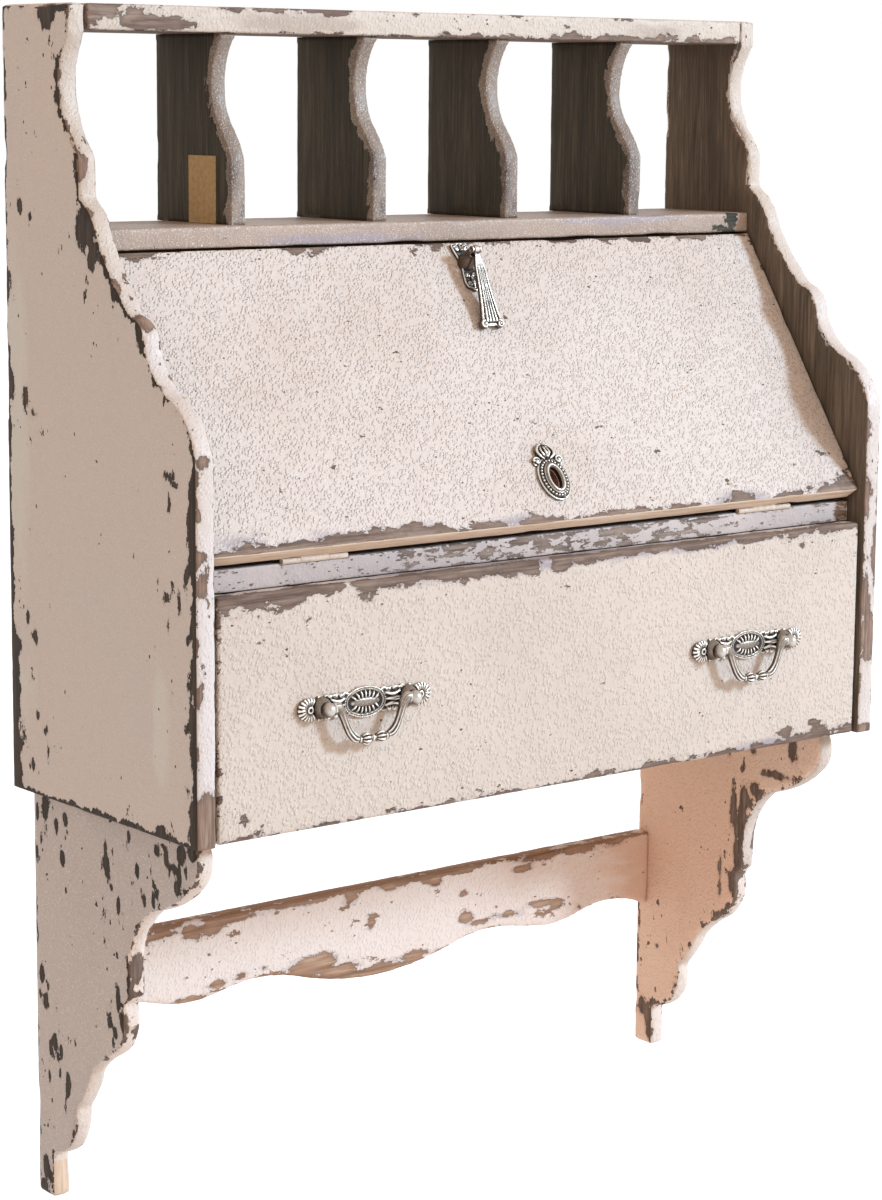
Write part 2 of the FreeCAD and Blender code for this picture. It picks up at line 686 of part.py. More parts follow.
def plate_pin(x, face_y, height, extra):
    """A round-headed pin through a cast plate; its head lies on the plate's face at face_y."""
    shank = rod(PIN_R + extra, PIN_LENGTH + extra, (x, face_y, height), (0, 1, 0))
    if extra:
        return shank
    head = Part.makeSphere(PIN_HEAD_R, Vector(x, face_y, height), Vector(0, -1, 0), 0, 90, 360)
    return head.fuse(shank)


escutcheon_pin_spots = [
    (size("escutcheon_offset"), escutcheon_middle + 0.40 * size("escutcheon_height")),
    (size("escutcheon_offset"), escutcheon_middle - 0.45 * size("escutcheon_height")),
]
pendant_pin_spots = [
    (size("pendant_offset"), pendant_plate_middle + 0.32 * size("pendant_plate_length")),
    (size("pendant_offset"), pendant_plate_middle - 0.34 * size("pendant_plate_length")),
]
plate_face = -(flap_outer + size("plate_thk"))


def flap_pins(spots, extra):
    return [plate_pin(x, plate_face, height, extra) for x, height in spots]


def oval(x, height, half_wide, half_tall, face_y, deep):
    """An upright oval block, its outer face at face_y and its depth towards the flap."""
    ring = Part.Ellipse(Vector(0, 0, 0), max(half_tall, half_wide), min(half_tall, half_wide))
    face = Part.Face(Part.Wire([ring.toShape()]))
    if half_tall > half_wide:
        face.rotate(Vector(0, 0, 0), Vector(0, 0, 1), 90)
    face.rotate(Vector(0, 0, 0), Vector(1, 0, 0), 90)
    face.translate(Vector(x, face_y, height))
    return face.extrude(Vector(0, deep, 0))


def fused(shapes):
    whole = shapes[0].multiFuse(shapes[1:])
    return whole.removeSplitter()


flap_box = doc.addObject("Part::Box", "flap_panel_blank")
flap_box.setExpression("Length", f"2 * ({INNER} - Sizes.flap_side_gap)")
flap_box.setExpression("Width", "Sizes.flap_thk")
flap_box.Height = flap_reach - size("flap_foot_gap")
flap_corner = Vector(-(inner - size("flap_side_gap")), -flap_outer, size("flap_foot_gap"))
flap_box.Placement = flap_place.multiply(Placement(flap_corner, Rotation()))
KEY_SLOT_DEEP = 6
KEY_SLOT_HALVES = (4.6, 9)  # half its width and half its height
flap_cutters = [oval(size("escutcheon_offset"), escutcheon_slot, *KEY_SLOT_HALVES,
                     -flap_outer - 1, KEY_SLOT_DEEP + 1)]
for x in hinge_xs.values():
    flap_cutters += hinge_recess(x, -1)
flap_cutters += flap_pins(escutcheon_pin_spots + pendant_pin_spots, fit)
node("flap_panel", cut("flap_panel", flap_box, placed(flap_cutters, flap_place)))


def escutcheon():
    """Scrolled plate with a raised beaded oval round the key slot."""
    x = size("escutcheon_offset")
    thick = size("plate_thk")
    half_wide = size("escutcheon_width") / 2
    lower = escutcheon_slot - escutcheon_foot
    body = oval(x, escutcheon_slot, half_wide, lower, plate_face, thick)
    crown_height = escutcheon_middle + size("escutcheon_height") * 0.33
    crown = oval(x, crown_height, half_wide * 0.52, size("escutcheon_height") * 0.17,
                 plate_face, thick)
    scrolls = [
        oval(x + sign * half_wide * 0.62, crown_height - 9, half_wide * 0.42, 7, plate_face, thick)
        for sign in (-1, 1)
    ]
    boss = oval(x, escutcheon_slot, half_wide * 0.68, lower * 0.68, plate_face - 2.5, thick + 2.5)
    shape = fused([body, crown, *scrolls, boss])
    shape = shape.cut(oval(x, escutcheon_slot, *KEY_SLOT_HALVES, plate_face - 4, thick + 6))
    for pin in flap_pins(escutcheon_pin_spots, fit):
        shape = shape.cut(pin)
    return shape


node("escutcheon", solid("escutcheon", escutcheon(), flap_place))
node("escutcheon_pins",
     solid("escutcheon_pins", Part.makeCompound(flap_pins(escutcheon_pin_spots, 0)), flap_place))

# ---- pendant pull: a plate, a post with two ears, a pin, and the drop that swings on it ----
PIVOT_R = 1.5
EAR_THK = 2
EYE_WIDE = 5
EYE_R = 4
pendant_x = size("pendant_offset")
pivot_y = -(flap_outer + size("pendant_reach"))


def pendant_plate():
    thick = size("plate_thk")
    half_wide = size("pendant_plate_width") / 2
    half_tall = size("pendant_plate_length") / 2
    middle = pendant_plate_middle
    parts = [
        oval(pendant_x, middle + half_tall * 0.45, half_wide, half_tall * 0.55, plate_face, thick),
        oval(pendant_x, middle - half_tall * 0.35, half_wide * 0.62, half_tall * 0.65,
             plate_face, thick),
        rod(5.5, size("pendant_reach") - size("plate_thk") - EYE_R - seat,
            (pendant_x, plate_face, pendant_axis), (0, -1, 0)),
    ]
    post_end = pivot_y + EYE_R + seat
    for sign in (-1, 1):
        near, far = sorted((sign * (EYE_WIDE / 2 + seat), sign * (EYE_WIDE / 2 + seat + EAR_THK)))
        ear = slab(pendant_x + near, pendant_x + far, pivot_y, post_end, pendant_axis - 3,
                   pendant_axis + 3)
        tip = rod(3, EAR_THK, (pendant_x + near, pivot_y, pendant_axis), (1, 0, 0))
        parts += [ear, tip]
    shape = fused(parts)
    length = EYE_WIDE + 2 * (seat + EAR_THK) + 2
    shape = shape.cut(rod(PIVOT_R + fit, length, (pendant_x - length / 2, pivot_y, pendant_axis),
                          (1, 0, 0)))
    for pin in flap_pins(pendant_pin_spots, fit):
        shape = shape.cut(pin)
    return shape


node("pendant_plate", solid("pendant_plate", pendant_plate(), flap_place))
node("pendant_plate_pins",
     solid("pendant_plate_pins", Part.makeCompound(flap_pins(pendant_pin_spots, 0)), flap_place))
pivot_length = EYE_WIDE + 2 * (seat + EAR_THK) - 0.4
pivot_pin = rod(PIVOT_R, pivot_length, (pendant_x - pivot_length / 2, pivot_y, pendant_axis),
                (1, 0, 0))
node("pendant_pivot_pin", solid("pendant_pivot_pin", pivot_pin, flap_place))

# The pendant hangs from its pin and leans its foot against the flap's face.
PENDANT_THK = 5
foot_reach = size("pendant_length")
lean_room = size("pendant_reach") - PENDANT_THK / 2 - 1.2
pendant_swing = math.degrees(math.asin(lean_room / foot_reach))


def pendant_drop():
    """Drawn hanging straight down the flap from the pivot line: eye, tapered blade, scrolled foot."""
    eye = rod(EYE_R, EYE_WIDE, (-EYE_WIDE / 2, 0, 0), (1, 0, 0))
    foot_half = size("pendant_foot_width") / 2
    thick = PENDANT_THK
    blade_end = -(foot_reach - 6)
    outline_right = [(2.4, -2.5), (2.6, -16), (4.2, -38), (foot_half * 0.62, blade_end)]
    points = outline_right + [(-x, z) for x, z in reversed(outline_right)]
    right_edge = Part.BSplineCurve()
    right_edge.interpolate([Vector(x, 0, z) for x, z in points[:4]])
    left_edge = Part.BSplineCurve()
    left_edge.interpolate([Vector(x, 0, z) for x, z in points[4:]])
    foot_edge = Part.makeLine(Vector(points[3][0], 0, points[3][1]),
                              Vector(points[4][0], 0, points[4][1]))
    head_edge = Part.makeLine(Vector(points[7][0], 0, points[7][1]),
                              Vector(points[0][0], 0, points[0][1]))
    loop = Part.Wire([right_edge.toShape(), foot_edge, left_edge.toShape(), head_edge])
    blade = Part.Face(loop).extrude(Vector(0, thick, 0))
    blade.translate(Vector(0, -thick / 2, 0))
    scroll_r = 4
    scrolls = [
        rod(scroll_r, thick + 1, (sign * (foot_half - scroll_r), -(thick + 1) / 2,
                                  -foot_reach + scroll_r), (0, 1, 0))
        for sign in (-1, 1)
    ]
    sill = slab(-foot_half + scroll_r, foot_half - scroll_r, -thick / 2, thick / 2,
                -foot_reach + 1, blade_end + 1)
    shape = fused([eye, blade, *scrolls, sill])
    return shape.cut(rod(PIVOT_R + fit, EYE_WIDE + 2, (-EYE_WIDE / 2 - 1, 0, 0), (1, 0, 0)))


pendant_hang = Placement(Vector(pendant_x, pivot_y, pendant_axis),
                         Rotation(Vector(1, 0, 0), pendant_swing))
node("pendant_pull", solid("pendant_pull", pendant_drop(), flap_place.multiply(pendant_hang)))

# ---- drawer: front with rounded corners, two sides, back and a bottom in grooves ----
drawer_thk = size("drawer_board_thk")
GROOVE_DEEP = 5
drawer_rear = front - size("drawer_length")
bottom_low = drawer_base + size("drawer_bottom_rise")
bottom_high = bottom_low + size("drawer_bottom_thk")
DRAWER_DOWEL_R = 3
DRAWER_DOWEL_IN = 9
DRAWER_DOWEL_LEN = 24
PULL_SCREW_R = 2
PULL_SCREW_HEAD_R = 4.5
PULL_SCREW_HEAD = 2.5
pull_centre = inner - size("pull_inset")
post_xs = [
    sign * pull_centre + side * size("post_spacing") / 2
    for sign in (-1, 1) for side in (-1, 1)
]


def drawer_dowels(radius, extra):
    shapes = []
    for sign in (-1, 1):
        x = sign * (drawer_half - drawer_thk / 2)
        for share in (0.2, 0.5, 0.8):
            height = bottom_high + share * (drawer_head - bottom_high)
            start = (x, -(front + DRAWER_DOWEL_IN + extra), height)
            shapes.append(rod(radius, DRAWER_DOWEL_LEN + 2 * extra, start, (0, 1, 0)))
    return [raised(shape) for shape in shapes]


def drawer_brads(radius, extra):
    shapes = []
    for sign in (-1, 1):
        for share in (0.2, 0.5, 0.8):
            height = bottom_high + share * (drawer_head - bottom_high)
            start = (sign * (drawer_half + extra), -(drawer_rear + drawer_thk / 2), height)
            shapes.append(rod(radius, brad_len + 2 * extra, start, (-sign, 0, 0)))
    return [raised(shape) for shape in shapes]


def pull_screws(extra):
    """Screws from inside the drawer front into the posts."""
    shapes = []
    for x in post_xs:
        start = (x, -(front - PULL_SCREW_HEAD), size("pull_height"))
        shank = rod(PULL_SCREW_R + extra,
                    PULL_SCREW_HEAD + size("drawer_front_thk") + size("plate_thk") + 3 + extra,
                    start, (0, -1, 0))
        head = rod(PULL_SCREW_HEAD_R, PULL_SCREW_HEAD, start, (0, -1, 0))
        shapes.append(shank if extra else head.fuse(shank).removeSplitter())
    return [raised(shape) for shape in shapes]


def drawer_front_outline():
    low = size("drawer_front_base")
    high = drawer_front_top
    half = drawer_half
    radius = size("drawer_corner_radius")
    ease = radius * (1 - math.sqrt(0.5))
    path = [
        ("to", (half - radius, low)),
        ("arc", (half - ease, low + ease), (half, low + radius)),
        ("to", (half, high - radius)),
        ("arc", (half - ease, high - ease), (half - radius, high)),
        ("to", (-half + radius, high)),
        ("arc", (-half + ease, high - ease), (-half, high - radius)),
        ("to", (-half, low + radius)),
        ("arc", (-half + ease, low + ease), (-half + radius, low)),
    ]
    return (-half + radius, low), path


front_start, front_path = drawer_front_outline()
front_blank = shaped_board("drawer_front", "XZ_Plane", front_start, front_path,
                           "Sizes.drawer_front_thk", depth=FRONT)
front_groove = raised(slab(-(drawer_half - drawer_thk + GROOVE_DEEP),
                           drawer_half - drawer_thk + GROOVE_DEEP,
                           -(front + GROOVE_DEEP), -(front - 1), bottom_low, bottom_high))
node("drawer_front", cut("drawer_front", front_blank,
                         drawer_dowels(DRAWER_DOWEL_R + fit, DOWEL_END)
                         + pull_screws(fit) + [front_groove]))

DRAWER_HALF = f"({INNER} - Sizes.drawer_side_gap)"
for name, edge, groove_x in (
    ("drawer_side_left", f"-{DRAWER_HALF}", -(drawer_half - drawer_thk)),
    ("drawer_side_right", f"({DRAWER_HALF} - Sizes.drawer_board_thk)", drawer_half - drawer_thk),
):
    blank = board(name, "Sizes.drawer_board_thk", "Sizes.drawer_length", DRAWER_SIDE_HEIGHT,
                  edge, FRONT, DRAWER_BASE)
    low_x, high_x = sorted((groove_x, groove_x + math.copysign(GROOVE_DEEP, groove_x)))
    inset = 1 if groove_x > 0 else 0
    groove = raised(slab(low_x - inset, high_x + 1 - inset, -front - 1, -drawer_rear + 1,
                         bottom_low, bottom_high))
    node(name, cut(name, blank, drawer_dowels(DRAWER_DOWEL_R + fit, DOWEL_END)
                   + drawer_brads(brad_r + fit, fit) + [groove]))

back_width = f"(2 * ({DRAWER_HALF} - Sizes.drawer_board_thk))"
DRAWER_BOTTOM_HIGH = f"({DRAWER_BASE} + Sizes.drawer_bottom_rise + Sizes.drawer_bottom_thk)"
drawer_back_blank = board(
    "drawer_back", back_width, "Sizes.drawer_board_thk",
    f"({FLOOR_UNDER} - Sizes.drawer_head_gap - {DRAWER_BOTTOM_HIGH})",
    f"-({DRAWER_HALF} - Sizes.drawer_board_thk)",
    f"({FRONT} - Sizes.drawer_length + Sizes.drawer_board_thk)", DRAWER_BOTTOM_HIGH,
)
node("drawer_back", cut("drawer_back", drawer_back_blank, drawer_brads(brad_r + fit, fit)))

bottom_half = drawer_half - drawer_thk + GROOVE_DEEP - seat
drawer_bottom = slab(-bottom_half, bottom_half, -(front + GROOVE_DEEP - seat), -drawer_rear,
                     bottom_low, bottom_high)
node("drawer_bottom", solid("drawer_bottom", raised(drawer_bottom)))
node("drawer_dowels",
     solid("drawer_dowels", Part.makeCompound(drawer_dowels(DRAWER_DOWEL_R, 0))))
node("drawer_brads", solid("drawer_brads", Part.makeCompound(drawer_brads(brad_r, 0))))
node("pull_screws", solid("pull_screws", Part.makeCompound(pull_screws(0))))

# ---- bail pulls: pierced plate with two posts, and a bail with two ringed beads on its grip ----
BAIL_PIN_R = 1.6
BAIL_PIN_LEN = 5
BEAD_R = 4.4
COLLAR_R = 3.2
GRIP_R = 1.8
GRIP_STUB = 1.5  # end of the grip past the beads
ARM_LEAN = 20  # degrees that the long bend turns an arm
post_r = size("post_radius")
rod_r = size("bail_rod_radius")
bail_half = size("post_spacing") / 2 - post_r - seat - rod_r
plate_y = -(drawer_face + size("plate_thk"))
bail_y = -(drawer_face + size("post_reach"))
bail_drop = size("bail_drop")


def pull_plate(centre):
    half_long = size("plate_length") / 2
    half_tall = size("plate_height") / 2
    thick = size("plate_thk")
    height = size("pull_height")
    parts = [oval(centre, height, half_long * 0.36, half_tall, plate_y, thick)]
    parts.append(slab(centre - half_long * 0.7, centre + half_long * 0.7, plate_y,
                      plate_y + thick, height - half_tall * 0.45, height + half_tall * 0.45))
    for sign in (-1, 1):
        parts.append(oval(centre + sign * half_long * 0.68, height, half_long * 0.20,
                          half_tall * 0.92, plate_y, thick))
        parts.append(oval(centre + sign * half_long * 0.86, height, half_long * 0.14,
                          half_tall * 0.55, plate_y, thick))
        post_x = centre + sign * size("post_spacing") / 2
        parts.append(rod(post_r, size("post_reach") - size("plate_thk"),
                         (post_x, plate_y, height), (0, -1, 0)))
        parts.append(Part.makeSphere(post_r, Vector(post_x, bail_y, height)))
    shape = fused(parts)
    window = oval(centre, height, half_long * 0.16, half_tall * 0.4, plate_y - 1, thick + 2)
    shape = shape.cut(window)
    for sign in (-1, 1):
        post_x = centre + sign * size("post_spacing") / 2
        hole_start = (post_x - sign * (post_r + 1), bail_y, height)
        shape = shape.cut(rod(BAIL_PIN_R + fit, BAIL_PIN_LEN + 1 + seat, hole_start,
                              (sign, 0, 0)))
    shape = raised(shape)
    for screw in pull_screws(fit):
        shape = shape.cut(screw)
    return shape


def bent_rod(start, heading, centre, turn, radius):
    """A rod that leaves start along heading and bends in the plane of the bail round centre."""
    section = Part.Face(Part.Wire([Part.Circle(start, heading, radius).toShape()]))
    return section.revolve(centre, Vector(0, 1, 0), turn)


def bail(centre):
    """A rod bent to a swan neck each side, its ends turned outwards into the posts.

    Each arm leaves its post straight down, leans in round a long bend and comes level round a
    short one.  The two radii are the ones that bring it from the pivot to the end of the grip.
    """
    bead = size("bead_offset")
    grip_end = 2 * bead + GRIP_STUB
    middle = Vector(centre, bail_y, size("pull_height"))
    grip = middle - Vector(0, 0, bail_drop)
    cosine, sine = math.cos(math.radians(ARM_LEAN)), math.sin(math.radians(ARM_LEAN))
    inwards = bail_half - grip_end
    long_radius = (bail_drop * cosine - inwards * (1 - sine)) / (cosine + sine - 1)
    short_radius = (inwards * sine - bail_drop * (1 - cosine)) / (cosine + sine - 1)
    parts = [rod(GRIP_R, 2 * grip_end, grip - Vector(grip_end, 0, 0), (1, 0, 0))]
    for sign in (-1, 1):
        pivot = middle + Vector(sign * bail_half, 0, 0)
        long_centre = pivot - Vector(sign * long_radius, 0, 0)
        out = Vector(sign * cosine, 0, -sine)
        knee = long_centre + out * long_radius
        parts += [
            rod(rod_r, rod_r, pivot, (0, 0, 1)),
            rod(BAIL_PIN_R, BAIL_PIN_LEN + seat + rod_r, pivot, (sign, 0, 0)),
            bent_rod(pivot, Vector(0, 0, -1), long_centre, sign * ARM_LEAN, rod_r),
            bent_rod(knee, Vector(-sign * sine, 0, -cosine), knee - out * short_radius,
                     sign * (90 - ARM_LEAN), rod_r),
            Part.makeSphere(BEAD_R, grip + Vector(sign * bead, 0, 0), Vector(1, 0, 0)),
            Part.makeSphere(COLLAR_R, grip + Vector(sign * (bead + BEAD_R), 0, 0), Vector(1, 0, 0)),
        ]
    return raised(fused(parts))


for hand, sign in (("left", -1), ("right", 1)):
    centre = sign * pull_centre
    node(f"pull_plate_{hand}", solid(f"pull_plate_{hand}", pull_plate(centre)))
    node(f"bail_{hand}", solid(f"bail_{hand}", bail(centre)))

# ---- checks, then one file for each piece ----
doc.recompute()
for obj in doc.Objects:
    if "Invalid" in obj.State or "Error" in obj.State:
        raise RuntimeError(f"{obj.Label} failed to build: {obj.State}")
for name, obj in nodes.items():
    if obj.Shape.isNull() or not obj.Shape.isValid():
        raise RuntimeError(f"{name} has no valid shape")
    if not obj.Shape.Solids:
        raise RuntimeError(f"{name} holds no solid")

os.makedirs("parts", exist_ok=True)
for name, obj in nodes.items():
    obj.Shape.exportStep(f"parts/{name}.step")

print("hinge line", 0, round(-front, 3), round(axis_height - datum, 3))
print("flap lean", round(flap_lean, 3), "opens", round(90 + flap_lean, 3))
pendant_line = flap_place.multVec(Vector(pendant_x, pivot_y, pendant_axis))
print("pendant line", [round(value, 3) for value in pendant_line], "swing", round(pendant_swing, 2))
print("bail line", round(bail_y, 3), round(size("pull_height") - datum, 3))
print(len(nodes), "pieces written")
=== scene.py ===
# Fold down wall desk: chipped cream paint over dark pine, with aged pewter fittings.
import json
import math

import bmesh
import bpy
import numpy
from mathutils import Matrix, Vector, kdtree, noise


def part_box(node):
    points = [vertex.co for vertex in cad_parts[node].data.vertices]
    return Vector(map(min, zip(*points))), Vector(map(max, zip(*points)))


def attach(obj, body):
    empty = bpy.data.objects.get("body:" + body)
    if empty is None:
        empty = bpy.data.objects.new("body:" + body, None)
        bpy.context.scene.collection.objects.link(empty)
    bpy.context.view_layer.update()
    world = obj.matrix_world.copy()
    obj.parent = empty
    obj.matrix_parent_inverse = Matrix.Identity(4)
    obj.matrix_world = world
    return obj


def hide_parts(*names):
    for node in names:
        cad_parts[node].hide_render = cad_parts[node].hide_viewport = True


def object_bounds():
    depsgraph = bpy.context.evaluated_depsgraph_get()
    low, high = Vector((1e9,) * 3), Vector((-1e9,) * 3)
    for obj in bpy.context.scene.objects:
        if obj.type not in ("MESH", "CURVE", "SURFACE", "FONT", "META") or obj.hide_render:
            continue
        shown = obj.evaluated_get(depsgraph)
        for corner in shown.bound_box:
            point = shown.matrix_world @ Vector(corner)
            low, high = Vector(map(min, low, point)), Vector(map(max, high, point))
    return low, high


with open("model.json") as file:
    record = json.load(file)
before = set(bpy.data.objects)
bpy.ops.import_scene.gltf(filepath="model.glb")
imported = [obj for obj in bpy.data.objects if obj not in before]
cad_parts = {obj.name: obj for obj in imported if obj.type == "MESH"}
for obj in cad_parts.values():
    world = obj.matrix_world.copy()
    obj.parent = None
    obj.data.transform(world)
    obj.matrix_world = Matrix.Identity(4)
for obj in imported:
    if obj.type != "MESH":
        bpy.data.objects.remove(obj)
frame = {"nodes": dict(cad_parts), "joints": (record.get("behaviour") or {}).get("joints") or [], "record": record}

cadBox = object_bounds()
nodes = frame["nodes"]
joints = {joint["name"]: joint for joint in frame["joints"]}
scene = bpy.context.scene
mm = 0.001


# Materials
def rgb(red, green, blue):
    # screen values 0 to 255, as a linear colour
    def linear(value):
        value /= 255
        return value / 12.92 if value <= 0.04045 else ((value + 0.055) / 1.055) ** 2.4
    return (linear(red), linear(green), linear(blue), 1)


class Shader:
    # the node tree of a material or the world, with short calls for the nodes used below
    def __init__(self, owner):
        self.owner = owner
        owner.use_nodes = True
        self.tree = owner.node_tree
        self.tree.nodes.clear()

    def add(self, kind, inputs=None, **settings):
        made = self.tree.nodes.new("ShaderNode" + kind)
        for key, value in settings.items():
            setattr(made, key, value)
        for key, value in (inputs or {}).items():
            if isinstance(value, bpy.types.NodeSocket):
                self.tree.links.new(value, made.inputs[key])
            else:
                made.inputs[key].default_value = value
        return made

    def math(self, operation, first, second=0.5, clamp=False):
        return self.add("Math", {0: first, 1: second}, operation=operation, use_clamp=clamp).outputs[0]

    def plus(self, *values):
        total = values[0]
        for value in values[1:]:
            total = self.math("ADD", total, value)
        return total

    def times(self, first, second):
        return self.math("MULTIPLY", first, second)

    def most(self, *values):
        top = values[0]
        for value in values[1:]:
            top = self.math("MAXIMUM", top, value)
        return top

    def fit(self, value, low, high, toLow=0.0, toHigh=1.0, smooth=True):
        kind = "SMOOTHSTEP" if smooth else "LINEAR"
        return self.add("MapRange", {0: value, 1: low, 2: high, 3: toLow, 4: toHigh},
                        interpolation_type=kind, clamp=True).outputs[0]

    def mix(self, share, first, second):
        return self.add("Mix", {0: share, 6: first, 7: second}, data_type="RGBA").outputs[2]

    def field(self, name):
        return self.add("Attribute", attribute_name=name).outputs["Fac"]

    def place(self, scale=(1, 1, 1), shift=(0, 0, 0)):
        where = self.add("TexCoord").outputs["Object"]
        return self.add("Mapping", {"Vector": where, "Scale": scale, "Location": shift}).outputs[0]

    def noise(self, where, scale, detail=3.0, rough=0.55, twist=0.0):
        made = self.add("TexNoise", {"Vector": where, "Scale": scale, "Detail": detail,
                                     "Roughness": rough, "Distortion": twist})
        return made.outputs["Fac"]

    def cells(self, where, scale):
        return self.add("TexVoronoi", {"Vector": where, "Scale": scale}).outputs["Distance"]

    def ramp(self, value, *stops):
        made = self.add("ValToRGB", {0: value})
        band = made.color_ramp
        while len(band.elements) < len(stops):
            band.elements.new(0.5)
        for element, (at, colour) in zip(band.elements, stops):
            element.position = at
            element.color = colour
        return made.outputs[0]

    def bump(self, heightMm):
        # height in millimetres
        return self.add("Bump", {"Height": heightMm, "Distance": 0.001}).outputs[0]

    def surface(self, **inputs):
        made = self.add("BsdfPrincipled", inputs)
        self.add("OutputMaterial", {0: made.outputs[0]})
        return self.owner


def alongGrain(grain, squeeze):
    # stretches a pattern along the grain axis: 0, 1 or 2 for X, Y or Z
    return [squeeze if axis == grain else 1 for axis in range(3)]


def woodLook(shader, grain, tones, shift):
    # sawn pine: fine streaks, broad bands and a few knots; gives colour and height in millimetres
    along = shader.place(alongGrain(grain, 0.05), shift)
    streak = shader.noise(along, 420, 5, 0.65, 0.3)
    band = shader.noise(along, 60, 3, 0.6, 1.2)
    blotch = shader.noise(shader.place(shift=shift), 14, 3)
    tone = shader.plus(shader.times(streak, 0.6), shader.times(band, 0.4))
    colour = shader.ramp(tone, (0.36, tones[0]), (0.50, tones[1]), (0.64, tones[2]))
    colour = shader.mix(shader.fit(blotch, 0.5, 0.75, 0, 0.45), colour, tones[0])
    knot = shader.cells(shader.place(alongGrain(grain, 0.22), shift), 9)
    colour = shader.mix(shader.fit(knot, 0.075, 0.03, 0, 0.8), colour, tones[0])
    return colour, shader.times(streak, 0.5)


# what a painted look has unless it says otherwise; widths are in metres
paintDefaults = {
    "shift": (0, 0, 0),  # moves the patterns, so that no two boards match
    "cutAt": 0.645,  # sum of the patterns at which the paint is gone
    "flakeScale": 70, "flakeSqueeze": 0.55, "fleckGlint": 0.0, "tintShare": 0.9, "rough": 0.48, "edgeLeast": 0.3,
    "rub": 0.3, "rubWidth": 0.008, "nearWorn": 0.07, "spill": -0.002, "rimShade": 0.4, "rimLight": 0.35,
}


